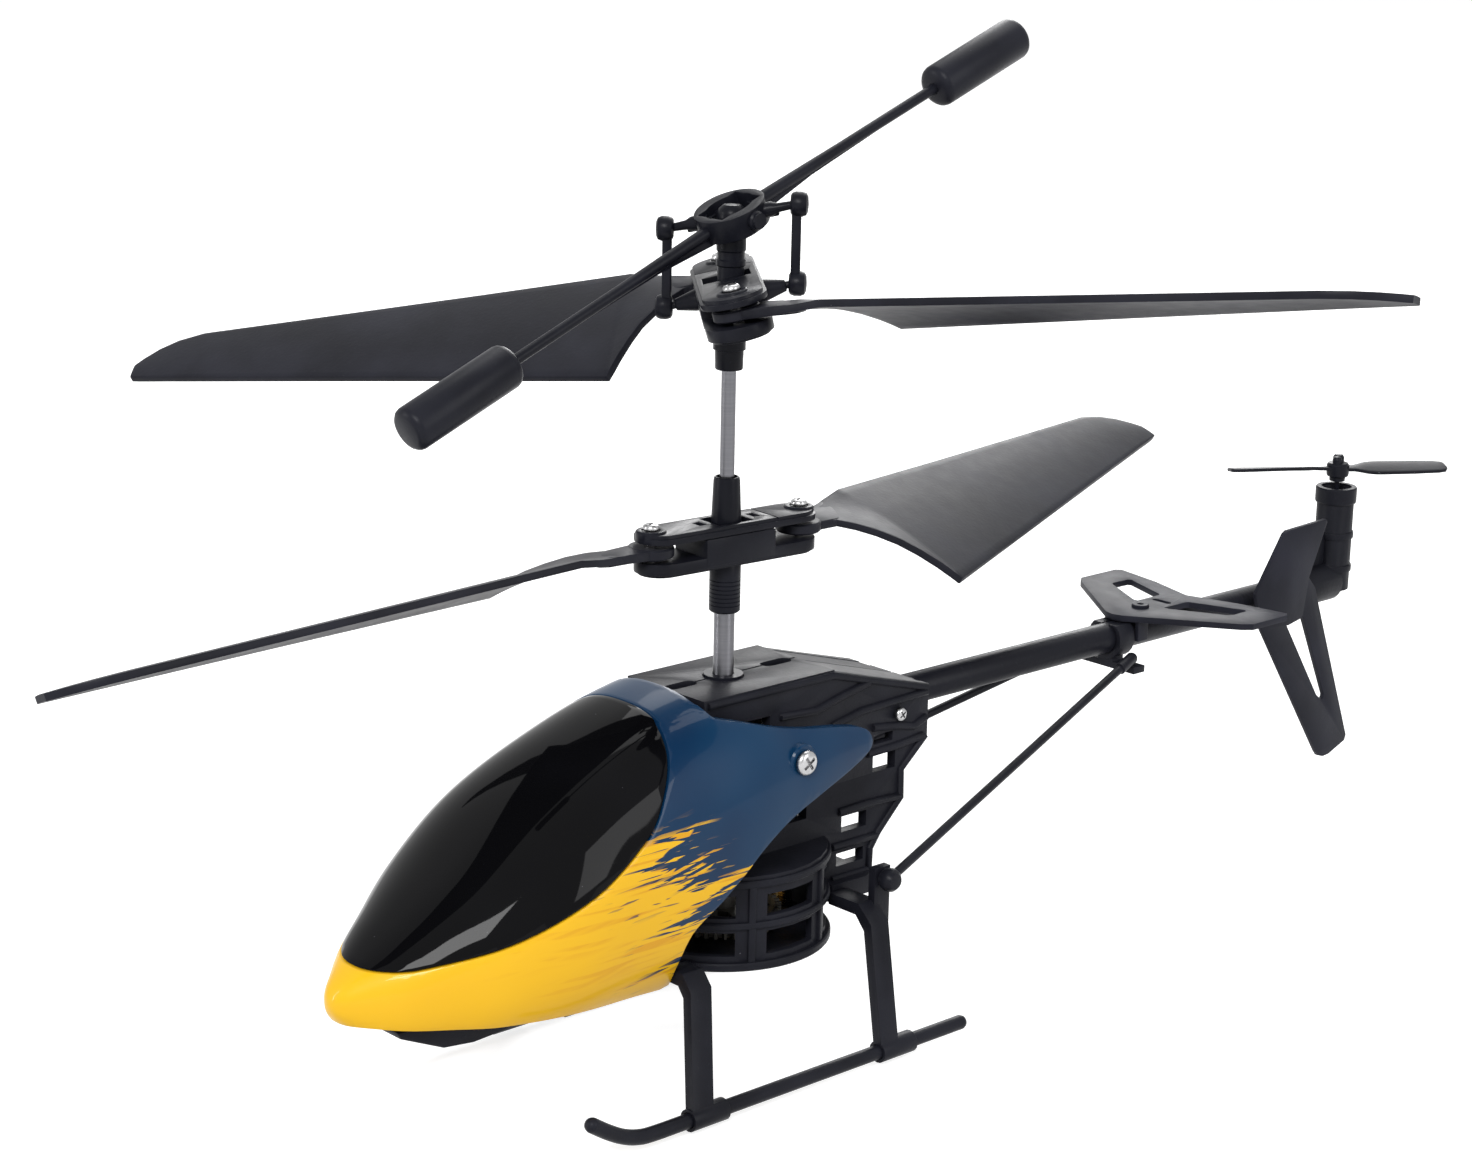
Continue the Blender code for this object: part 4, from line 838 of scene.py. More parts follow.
    @staticmethod
    def settle(piece: bpy.types.Object, finish: Finish, body: str, node: str,
               smooth: float = 34.0) -> bpy.types.Object:
        """Set a finished piece into the frame and dress it.

        Args:
            piece: The piece, in millimetres about the shaft.
            finish: Its finish.
            body: The body that it rides on.
            node: The solid that it stands for, which is hidden.
            smooth: Angle under which its faces shade smoothly, in degrees.

        Returns:
            The piece.
        """
        Bench.put(piece, Matrix.Translation((SHAFT_X * MM, SHAFT_Y * MM, 0.0)) @ Matrix.Scale(MM, 4))
        bpy.ops.object.shade_smooth_by_angle(angle=math.radians(smooth))
        piece.data.name = piece.name
        piece.data.materials.clear()
        piece.data.materials.append(finish.material())
        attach(piece, body)
        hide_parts(node)
        LOG.info("%s rides on %s, %d faces", piece.name, body, len(piece.data.polygons))
        return piece


# Canopy


@dataclass
class Canopy:
    """Lacquered shell, gloss windshield and the two canopy screws."""

    stations: tuple[tuple[float, float, float, float], ...] = (
        (-63.1, 0.0, 21.4, 21.4), (-60.0, 4.4, 17.0, 25.4), (-56.5, 7.6, 15.0, 28.0),
        (-52.0, 10.3, 14.0, 31.3), (-46.0, 13.6, 13.0, 35.8), (-36.0, 15.9, 12.0, 43.0),
        (-26.0, 15.9, 11.5, 47.8), (-16.0, 15.8, 11.5, 51.1), (-6.0, 15.9, 16.5, 52.3),
        (4.0, 14.9, 25.0, 50.4), (16.0, 13.1, 34.4, 47.0))
    nose_z: float = 21.4
    wall: float = 1.0
    power: float = 2.5
    around: int = 80
    screw: tuple[float, float] = (0.9, 42.5)
    screw_seat: float = 14.9
    seam: float = 0.12
    least_half: float = 0.25
    edge: float = 0.16
    smooth: float = 38.0
    nose_steps: tuple[float, ...] = (0.02, 0.15, 0.4, 0.8, 1.4, 2.2, 3.2)
    boss: tuple[Point2, ...] = (
        (0.0, -1.7), (2.3, -1.7), (2.3, -0.3), (2.1, -0.05), (1.5, -0.05), (1.5, -0.5), (0.0, -0.5))
    glass_edge: tuple[Point2, ...] = (
        (-64.0, 25.6), (-57.4, 25.7), (-53.2, 26.5), (-48.7, 27.7), (-43.4, 29.3), (-38.0, 31.3),
        (-32.5, 33.7), (-27.8, 36.5), (-24.4, 39.1), (-21.5, 42.9), (-19.4, 46.1), (-18.0, 49.0),
        (-17.2, 51.0), (-17.0, 60.0))
    rear_edge: tuple[Point2, ...] = (
        (-19.8, 16.6), (-19.9, 19.7), (-18.3, 24.0), (-13.7, 27.2), (-10.0, 30.1), (-6.5, 33.0), (-1.9, 35.6),
        (4.4, 37.7), (10.1, 39.4), (14.0, 41.0), (14.8, 42.6), (13.6, 44.0), (8.8, 45.1), (0.7, 46.4),
        (-6.5, 48.4), (-9.3, 49.1), (-10.5, 49.5), (-11.1, 50.6), (-11.6, 52.0), (-11.6, 60.0))
    rim: tuple[Point2, ...] = ((-70.0, 19.4), (-63.0, 19.0), (-40.0, 17.5), (-21.0, 16.2))

    def _section(self, y: float) -> tuple[float, float, float]:
        """Half width, lowest and highest z at a station.

        Args:
            y: Where along the body.

        Returns:
            The three sizes, rounded off towards the nose.
        """
        zeros = (0.0, self.nose_z, self.nose_z)
        rows = [(row[0], *(math.copysign((v - zero) ** 2, v - zero) for v, zero in zip(row[1:], zeros)))
                for row in self.stations]
        last = len(rows) - 1
        i = max(k for k in range(last) if rows[k][0] <= y) if y < rows[last][0] else last - 1
        t = (y - rows[i][0]) / (rows[i + 1][0] - rows[i][0])
        sizes = []
        for column in (1, 2, 3):
            def slope(k: int) -> float:
                """Slope at a station."""
                a, b = max(k - 1, 0), min(k + 1, last)
                return (rows[b][column] - rows[a][column]) / (rows[b][0] - rows[a][0])
            run = rows[i + 1][0] - rows[i][0]
            p, q, m, n = rows[i][column], rows[i + 1][column], slope(i) * run, slope(i + 1) * run
            value = ((2 * t ** 3 - 3 * t * t + 1) * p + (t ** 3 - 2 * t * t + t) * m
                     + (3 * t * t - 2 * t ** 3) * q + (t ** 3 - t * t) * n)
            sizes.append(math.copysign(math.sqrt(abs(value)), value))
        return sizes[0], self.nose_z + sizes[1], self.nose_z + sizes[2]

    def _form(self, name: str, inset: float) -> bpy.types.Object:
        """Closed body, extruded ring by ring from the nose.

        Args:
            name: The piece's name.
            inset: How far it is drawn in.

        Returns:
            The closed form.
        """
        Bench.clear()
        bpy.ops.mesh.primitive_circle_add(vertices=self.around, radius=1.0, fill_type="NGON",
                                          rotation=(math.pi / 2, 0, 0))
        piece = bpy.context.object
        piece.name = name
        bpy.ops.object.transform_apply(location=True, rotation=True, scale=True)
        for vertex in piece.data.vertices:
            angle = math.atan2(vertex.co.z, vertex.co.x)
            c, s = math.cos(angle), math.sin(angle)
            reach = (abs(c) ** self.power + abs(s) ** self.power) ** (-1 / self.power)
            vertex.co = (reach * c, 0.0, reach * s)
        bpy.ops.object.mode_set(mode="EDIT")
        bpy.ops.mesh.select_all(action="SELECT")
        nose = self.stations[0][0]
        spots = [nose + step for step in self.nose_steps] + [nose + 4.4 + 1.45 * k for k in range(52)]
        width, height, middle, place = 1.0, 1.0, 0.0, 0.0
        for count, spot in enumerate(spots):
            half, low, high = self._section(spot)
            shy = inset * max(0.0, min(1.0, (-50.0 - spot) / 11.0))
            half, tall = max(half - inset, self.least_half), max((high - low) / 2 - inset, self.least_half)
            centre = (low + high) / 2
            step = (0.0, spot + shy - place, centre - middle)
            if count:
                bpy.ops.mesh.extrude_region_move(TRANSFORM_OT_translate={"value": step})
            else:
                bpy.ops.transform.translate(value=step)
            place, middle = spot + shy, centre
            bpy.ops.transform.resize(value=(half / width, 1.0, tall / height),
                                     center_override=(0.0, place, middle))
            width, height = half, tall
        return Bench.tidy(piece)

    def build(self) -> None:
        """Model the shell, the windshield and the screws, and dress them."""
        rear = curve_through(self.rear_edge, 5) + [(40.0, 60.0), (40.0, 0.0), (-70.0, 0.0), *self.rim]
        shell = Bench.cut(self._form("canopy_body", 0.0), self._form("hollow", self.wall),
                          Bench.plate("opening", rear, -CUTTER_REACH, CUTTER_REACH, Plane.SIDE))
        pane = [(-80.0, 25.6)] + curve_through(self.glass_edge, 6) + [(-80.0, 60.0)]
        glass = Bench.twin(shell, "canopy_windshield")
        inner, outer = (
            Bench.plate("pane", [(y - gap, z + gap) for y, z in pane], -CUTTER_REACH, CUTTER_REACH,
                        Plane.SIDE)
            for gap in (self.seam, -self.seam))
        Bench.combine(glass, inner, "INTERSECT")
        Bench.cut(shell, outer)
        boss = Bench.lathe("boss", self.boss)
        bosses = [Bench.aim(boss, (self.screw_seat - 0.1, *self.screw), (1, 0, 0))]
        bosses.append(Bench.mirror(bosses[0], "boss_right"))
        for piece in (shell, glass):
            Bench.tidy(piece)
            Bench.ease(piece, self.edge, 2, 40.0)
        Bench.gather(shell, *bosses)
        Bench.settle(shell, Finish.LACQUER, "airframe", "canopy_shell", self.smooth)
        Bench.settle(glass, Finish.GLASS, "airframe", "windshield", self.smooth)
        head = Screw(head_radius=1.65, head_height=0.9, shank_radius=0.8,
                     shank_length=5.0).build("canopy_screw")
        for side, name in ((1, "left"), (-1, "right")):
            screw = Bench.aim(Bench.twin(head, "canopy_screw_head_" + name),
                              (side * self.screw_seat, *self.screw), (side, 0, 0))
            Bench.settle(screw, Finish.ZINC, "airframe", "canopy_screw_" + name)
        bpy.data.objects.remove(head)


@dataclass
class Screw:
    """Pan-head screw with a cross recess, standing on z = 0."""

    head_radius: float
    head_height: float
    shank_radius: float
    shank_length: float

    def build(self, name: str) -> bpy.types.Object:
        """Turn the screw and cut its recess.

        Args:
            name: The piece's name.

        Returns:
            The screw.
        """
        r, h = self.head_radius, self.head_height
        profile = [(0.0, -self.shank_length), (self.shank_radius * 0.7, -self.shank_length),
                   (self.shank_radius, -self.shank_length + 0.4), (self.shank_radius, 0.0), (r * 0.96, 0.0),
                   (r, h * 0.12), (r, h * 0.42), (r * 0.93, h * 0.68), (r * 0.78, h * 0.88),
                   (r * 0.5, h * 0.98), (0.0, h)]
        screw = Bench.lathe(name, profile, 36)
        for turn in (35.0, 125.0):
            slot = Bench.block("slot", (-r * 0.62, -r * 0.13, h * 0.38), (r * 0.62, r * 0.13, h * 2))
            Bench.cut(screw, Bench.turn(slot, turn, (0, 0, 1)))
        return Bench.ease(screw, r * 0.03, 1, 40.0)


# Rotors


@dataclass
class Blade:
    """Twisted, cambered blade. Each station gives its distance, leading edge, trailing edge and pitch."""

    stations: tuple[tuple[float, float, float, float], ...] = (
        (1.6, 1.4, -1.4, 0.0), (5.0, 2.4, -2.6, 5.0), (9.6, 3.4, -9.9, 14.5), (13.3, 4.0, -18.5, 22.7),
        (36.0, 4.2, -13.6, 22.5), (60.0, 4.6, -8.4, 22.2), (74.8, 4.9, -5.2, 22.0), (78.4, 4.0, -4.4, 22.0),
        (80.8, 2.6, -3.9, 22.0), (82.6, 0.9, -3.5, 22.0), (83.8, -0.6, -3.2, 22.0))
    spans: tuple[float, ...] = (
        1.6, 2.6, 3.8, 5.0, 6.5, 8.0, 9.6, 10.8, 12.0, 12.8, 13.3, *(13.9 + 2.03 * k for k in range(31)),
        76.2, 77.4, 78.4, 79.6, 80.8, 81.8, 82.6, 83.3, 83.8)
    thick: float = 0.95
    camber: float = 0.028
    across: int = 14
    edge: float = 0.22
    hang_from: float = 4.5
    root_radius: float = 3.0
    root_bore: float = 0.8
    root_thick: float = 1.4
    tongue: tuple[Point2, ...] = (
        (1.2, 2.3), (5.2, 2.5), (8.6, 3.0), (9.2, 1.4), (8.4, -2.2), (5.4, -2.4), (1.2, -2.3))
    tongue_half: float = 0.62

    def _at(self, s: float) -> tuple[float, float, float]:
        """Leading edge, trailing edge and pitch at a distance from the screw."""
        rows = self.stations
        i = max(k for k in range(len(rows) - 1) if rows[k][0] <= s)
        t = (s - rows[i][0]) / (rows[i + 1][0] - rows[i][0])
        return tuple(a + (b - a) * t for a, b in zip(rows[i][1:], rows[i + 1][1:]))

    def _hang(self, s: float, droop: float) -> float:
        """How far a drooping blade hangs at a distance from the screw."""
        return max(0.0, s - self.hang_from) * math.tan(math.radians(droop))

    def skin(self, name: str, side: float = 1.0, droop: float = 0.0) -> bpy.types.Object:
        """Shape a grid to the plan and thicken it.

        Args:
            name: The piece's name.
            side: 1 where the leading edge lies along +y, else -1.
            droop: How far the blade hangs, in degrees.

        Returns:
            The blade without a root, with its span along x.
        """
        last = len(self.spans) - 1
        Bench.clear()
        bpy.ops.mesh.primitive_grid_add(x_subdivisions=last, y_subdivisions=self.across, size=2.0)
        piece = bpy.context.object
        piece.name = name
        for vertex in piece.data.vertices:
            s = self.spans[round((vertex.co.x + 1.0) / 2.0 * last)]
            share = (vertex.co.y + 1.0) / 2.0
            lead, trail, pitch = self._at(s)
            v = trail + (lead - trail) * share
            turn = math.radians(pitch)
            bow = 4.0 * share * (1.0 - share) * self.camber * (lead - trail)
            vertex.co = (s, side * (v * math.cos(turn) - bow * math.sin(turn)),
                         v * math.sin(turn) + bow * math.cos(turn) - self._hang(s, droop))
        Bench.apply(piece, "SOLIDIFY", thickness=self.thick, offset=0.0, use_even_offset=True)
        return Bench.ease(Bench.tidy(piece), self.edge, 2, 50.0)

    def build(self, name: str, side: float, droop: float) -> bpy.types.Object:
        """Shape the blade and add its drilled root and the tongue that carries it.

        Args:
            name: The piece's name.
            side: 1 where the leading edge lies along +y, else -1.
            droop: How far the blade hangs, in degrees.

        Returns:
            The blade, with its screw at zero and its span along x.
        """
        piece = self.skin(name, side, droop)
        bore, r, h = self.root_bore, self.root_radius, self.root_thick / 2
        root = Bench.lathe("root", [(bore, -h), (r - 0.2, -h), (r, -h + 0.2), (r, h - 0.2), (r - 0.2, h),
                                    (bore, h), (bore, -h)], 40)
        tongue = Bench.plate("tongue", [(s, side * v) for s, v in self.tongue], -self.tongue_half,
                             self.tongue_half)
        Bench.ease(tongue, 0.18, 2)
        for vertex in tongue.data.vertices:
            _, _, pitch = self._at(max(vertex.co.x, self.stations[0][0]))
            vertex.co.z += side * vertex.co.y * math.tan(math.radians(pitch)) * 0.9
            vertex.co.z -= self._hang(vertex.co.x, droop)
        return Bench.gather(piece, root, tongue)


@dataclass
class BladeSeat:
    """One blade of a rotor: its name, its end of the bar, and its fold and droop in degrees."""

    name: str
    end: int
    fold: float
    droop: float


@dataclass
class RotorPlace:
    """Where a rotor's bar stands, and how it is rolled."""

    azimuth: float
    height: float
    roll: float = 0.0

    def seat(self, piece: bpy.types.Object) -> bpy.types.Object:
        """Carry a piece from the bar's own frame to its place."""
        lift = Matrix.Translation((0.0, 0.0, self.height))
        swing = Matrix.Rotation(math.radians(self.azimuth), 4, "Z")
        return Bench.put(piece, lift @ swing @ Matrix.Rotation(math.radians(self.roll), 4, "X"))


@dataclass
class Rotor:
    """One rotor's hub plates, screws and folding blades, drawn about the bar along x."""

    name: str
    place: RotorPlace
    body: str
    hub_nodes: tuple[str, str]
    half_length: float
    half_width: float
    opening: tuple[float, float]
    lead_side: float
    blades: tuple[BladeSeat, ...]
    screw_radius: float = 12.1
    seat_height: float = 1.25
    plate: float = 1.5
    cap: float = 1.2
    block_half: float = 5.6

    def _plates(self) -> tuple[bpy.types.Object, bpy.types.Object]:
        """Lower plate with its middle block, and the stepped cap."""
        seat, low = self.seat_height, -self.seat_height - self.plate
        top = seat + self.cap
        end = stadium(self.half_length, self.half_width)
        plate = Bench.plate(self.name + "_lower_plate", end, low, -seat)
        dish = Bench.plate("dish", stadium(self.half_length - 0.5, self.half_width - 0.5), low - 0.35,
                           low + 0.3)
        middle = Bench.block("middle", (-self.block_half, -self.half_width - 0.05, low + 0.35),
                             (self.block_half, self.half_width + 0.05, seat - 0.12))
        Bench.weld(plate, dish, middle)
        cap = Bench.plate(self.name + "_top_plate", end, seat, seat + self.cap * 0.62)
        upper = Bench.plate("upper", stadium(self.half_length - 0.45, self.half_width - 0.4), seat + 0.2, top)
        Bench.weld(cap, upper)
        for side in (1, -1):
            x = side * self.screw_radius
            pad = Bench.lathe("pad", [(0.0, seat + 0.5), (2.0, seat + 0.5), (2.0, top + 0.12),
                                      (1.82, top + 0.3), (1.25, top + 0.3), (1.25, top + 0.12),
                                      (0.0, top + 0.12)], 32)
            Bench.weld(cap, Bench.shift(pad, x, 0.0, 0.0))
        Bench.cut(cap, Bench.block("groove", (-self.block_half - 0.75, -9.0, top - 0.22),
                                   (-self.block_half - 0.5, 9.0, seat + 3.0)))
        u, v = self.opening
        for piece in (plate, cap):
            Bench.cut(piece, Bench.block("opening", (-u, -v, -9.0), (u, v, 9.0)))
        for x in (4.4, -4.4):
            Bench.cut(cap, Bench.block("recess", (x - 0.55, -0.9, top - 0.5), (x + 0.55, 0.9, seat + 4.0)))
        return plate, cap

    def build(self, studs: Sequence[bpy.types.Object] = ()) -> None:
        """Model the hub, screws and blades, and dress them.

        Args:
            studs: Further pieces of the lower plate, in the bar's frame.
        """
        plate, cap = self._plates()
        for piece, node in zip((plate, cap), self.hub_nodes):
            Bench.tidy(piece)
            Bench.ease(piece, 0.16, 2, 40.0)
            if piece is plate and studs:
                Bench.gather(piece, *studs)
            Bench.settle(self.place.seat(piece), Finish.HUB, self.body, node)
        head = Screw(head_radius=1.1, head_height=0.75, shank_radius=0.7, shank_length=4.6).build("screw")
        for seat in self.blades:
            out = seat.end * self.screw_radius
            screw = Bench.twin(head, f"{self.name}_screw_head_{seat.name}")
            Bench.shift(screw, out, 0.0, self.seat_height + self.cap + 0.34)
            node = f"{self.name}_blade_screw_{seat.name}"
            Bench.settle(self.place.seat(screw), Finish.ZINC, self.body, node)
            blade = Blade().build(f"{self.name}_rotor_blade_{seat.name}", self.lead_side, seat.droop)
            Bench.turn(blade, seat.fold + (0.0 if seat.end > 0 else 180.0), (0, 0, 1))
            Bench.shift(blade, out, 0.0, 0.0)
            node = f"{self.name}_blade_{seat.name}"
            Bench.settle(self.place.seat(blade), Finish.BLADE, node, node, 30.0)
        bpy.data.objects.remove(head)


@dataclass
class Masts:
    """Shafts, the lower mast sleeve and the upper head post."""

    shaft_radius: float = 0.95
    shaft_low: float = 14.4
    shaft_top: float = 97.4
    tube_radius: float = 1.35
    tube_bore: float = 1.05
    tube_low: float = 22.4
    tube_top: float = 77.2
    sleeve_low: float = 59.6
    sleeve_top: float = 77.5
    sleeve_rings: int = 7
    teeter_height: float = 68.5
    post: tuple[Point2, ...] = (
        (1.06, 91.5), (1.7, 91.5), (1.8, 91.65), (1.85, 94.0), (2.1, 94.1), (2.1, 95.2), (2.7, 95.5),
        (2.8, 95.65), (2.8, 96.1), (2.6, 96.3), (1.7, 96.8), (1.7, 104.7), (1.92, 104.9), (1.92, 105.5),
        (1.75, 105.7), (1.75, 106.6), (1.9, 106.8), (1.9, 111.4), (1.7, 112.0), (1.1, 112.5), (0.0, 112.6),
        (0.0, 97.6), (1.06, 97.5), (1.06, 91.5))

    def build(self) -> None:
        """Turn the shafts, the sleeve with its teeter pin and the post, and dress them."""
        r, low, top = self.shaft_radius, self.shaft_low, self.shaft_top
        shaft = Bench.lathe("main_shaft", [(0.0, low), (r - 0.2, low), (r, low + 0.2), (r, top - 0.2),
                                           (r - 0.2, top), (0.0, top)], 40)
        Bench.settle(shaft, Finish.STEEL, "inner_rotor", "inner_shaft")
        bore, r, low, top = self.tube_bore, self.tube_radius, self.tube_low, self.tube_top
        tube = Bench.lathe("main_tube", [(bore, low), (r, low), (r, top - 0.2), (r - 0.1, top), (bore, top),
                                         (bore, low)], 40)
        Bench.settle(tube, Finish.STEEL, "outer_rotor", "outer_tube")
        low, top = self.sleeve_low, self.sleeve_top
        profile = [(1.42, low), (1.85, low), (2.05, low + 0.2)]
        for ring in range(self.sleeve_rings):
            z = low + 0.9 + ring * 0.55
            profile += [(2.05, z), (1.97, z + 0.07), (2.05, z + 0.14)]
        profile += [(2.05, 66.0), (1.95, 66.2), (1.95, 72.2), (1.92, 72.6), (1.74, top - 0.5),
                    (1.66, top - 0.12), (1.52, top), (1.42, top), (1.42, low)]
        sleeve = Bench.lathe("lower_mast_sleeve", profile, 48)
        pin = Bench.lathe("pin", [(0.0, -3.0), (0.5, -3.0), (0.58, -2.9), (0.58, 2.9), (0.5, 3.0),
                                  (0.0, 3.0)], 20)
        Bench.gather(sleeve, Bench.aim(pin, (0.0, 0.0, self.teeter_height), level(LOWER_AZIMUTH + 90.0)))
        Bench.settle(sleeve, Finish.HUB, "outer_rotor", "lower_mast")
        head = Bench.lathe("head_post", self.post, 48)
        Bench.settle(head, Finish.HUB, "inner_rotor", "rotor_head")


@dataclass
class Flybar:
    """Weighted flybar with its ring, and the two links down to the blade holder."""

    height: float = 111.0
    tilt: float = 21.8
    sag: float = 0.6
    weight_radius: float = 2.85
    weight_span: tuple[float, float] = (38.2, 55.0)
    rod_radius: float = 0.7
    link_azimuth: float = 218.0
    link_radius: float = 8.5
    link_facing: float = 224.65
    drop: float = 10.0
    ring: Point2 = (4.4, 4.75)
    pocket: Point2 = (2.75, 3.55)
    well: Point2 = (2.3, 3.4)
    skirt_share: float = 0.82
    barrel: tuple[Point2, ...] = (
        (0.62, -0.75), (1.1, -0.8), (1.42, -0.6), (1.6, -0.1), (1.6, 0.7), (1.4, 1.2), (0.95, 1.42),
        (0.0, 1.5), (0.0, 1.16), (0.62, 1.16), (0.62, -0.75))

    def _bar(self) -> None:
        """Ring with a deep pocket, rods, ribs and arms."""
        outline = ellipse(*self.ring, 56)
        ring = Bench.plate("flybar_ring", outline, -1.5, 1.5)
        skirt = Bench.plate("skirt", [(x * self.skirt_share, y * self.skirt_share) for x, y in outline],
                            -1.95, -1.2)
        Bench.weld(ring, skirt)
        x, y = self.well
        Bench.cut(ring, Bench.plate("pocket", ellipse(*self.pocket, 40), 0.2, 6.0),
                  Bench.block("well", (-x, -y, -6.0), (x, y, 6.0)))
        Bench.ease(Bench.tidy(ring), 0.22, 3, 40.0)
        extra = []
        for side in (1, -1):
            rod = Bench.lathe("rod", [(0.0, 3.9), (0.85, 3.9), (0.8, 10.0), (self.rod_radius, 20.0),
                                      (self.rod_radius, 54.0), (0.0, 54.0)], 24)
            Bench.aim(rod, (0, 0, 0), (0, side, 0))
            rib = Bench.plate("rib", [(side * 3.8, 0.2), (side * 30.0, 0.05), (side * 30.0, -0.55),
                                      (side * 14.0, -0.95), (side * 3.8, -1.9)],
                              -0.4, 0.4, Plane.SIDE)
            Bench.ease(rib, 0.12, 2)
            for piece in (rod, rib):
                extra.append(Bench.turn(piece, -side * self.sag, (1, 0, 0)))
            arm = Bench.lathe("arm", [(0.0, 3.0), (1.0, 3.0), (0.95, 5.2), (0.62, 6.0), (0.55, 7.2),
                                      (0.5, 9.4), (0.0, 9.4)], 24)
            extra.append(Bench.aim(arm, (0, 0, 0), level(self.link_azimuth) * side))
            web = Bench.plate("web", [(2.6, -0.45), (6.0, -0.3), (6.0, 0.3), (2.6, 0.45)], -1.0, 0.45)
            Bench.turn(Bench.ease(web, 0.1, 1), self.link_azimuth + (0 if side > 0 else 180), (0, 0, 1))
            extra.append(web)
            boss = Bench.lathe("boss", [(0.0, 3.4), (1.25, 3.4), (1.25, 4.7), (1.05, 4.95), (0.0, 4.95)], 28)
            extra.append(Bench.aim(boss, (0, 0, 0), (side, 0, 0)))
        Bench.gather(ring, *extra)
        Bench.shift(Bench.turn(ring, self.tilt, (1, 0, 0)), 0.0, 0.0, self.height)
        Bench.settle(ring, Finish.HUB, "flybar", "flybar")

    def _weights(self) -> None:
        """Two turned weights with rounded ends."""
        near, far = self.weight_span
        r = self.weight_radius
        profile = [(0.75, near), (r - 1.0, near + 0.05), (r - 0.45, near + 0.25), (r - 0.12, near + 0.65),
                   (r, near + 1.1), (r, far - 1.0), (r - 0.12, far - 0.55), (r - 0.45, far - 0.18),
                   (r - 0.9, far), (0.0, far)]
        for name, side in (("front", -1), ("rear", 1)):
            weight = Bench.aim(Bench.lathe("flybar_bob_" + name, profile, 56), (0, 0, 0), (0, side, 0))
            Bench.turn(weight, self.tilt - side * self.sag, (1, 0, 0))
            Bench.settle(Bench.shift(weight, 0.0, 0.0, self.height), Finish.WEIGHT, "flybar",
                         "flybar_weight_" + name)

    def _links(self) -> None:
        """Links with barrel ends over the arms' studs."""
        for name, side in (("left", 1), ("right", -1)):
            strap = Bench.block("link_strap_" + name, (-0.6, -0.85, -self.drop + 0.8), (0.6, 0.85, -0.8), 0.2)
            Bench.turn(strap, self.link_facing, (0, 0, 1))
            ends = [Bench.aim(Bench.lathe("end", self.barrel, 28), (0.0, 0.0, z),
                              level(self.link_facing) * side)
                    for z in (0.0, -self.drop)]
            Bench.gather(strap, *ends)
            arm = level(self.link_azimuth) * self.link_radius * side
            top = Matrix.Rotation(math.radians(self.tilt), 4, "X") @ arm
            Bench.settle(Bench.shift(strap, top.x, top.y, top.z + self.height), Finish.HUB, "link_" + name,
                         "link_" + name)

    def build(self) -> None:
        """Model the bar, weights and links, and dress them."""
        self._bar()
        self._weights()
        self._links()

    def studs(self) -> list[bpy.types.Object]:
        """Cone studs of the blade holder, in the bar's frame."""
        angle = math.radians(self.link_azimuth - UPPER_AZIMUTH)
        along, across = self.link_radius * math.cos(angle), abs(self.link_radius * math.sin(angle))
        profile = [(0.0, 3.6), (1.5, 3.6), (1.35, 4.6), (0.75, across - 1.3), (0.48, across - 1.2),
                   (0.45, across + 1.0), (0.0, across + 1.1)]
        return [Bench.aim(Bench.lathe("stud", profile, 24), (-side * along, 0.0, 0.0), (0, side, 0))
                for side in (1, -1)]


# Airframe


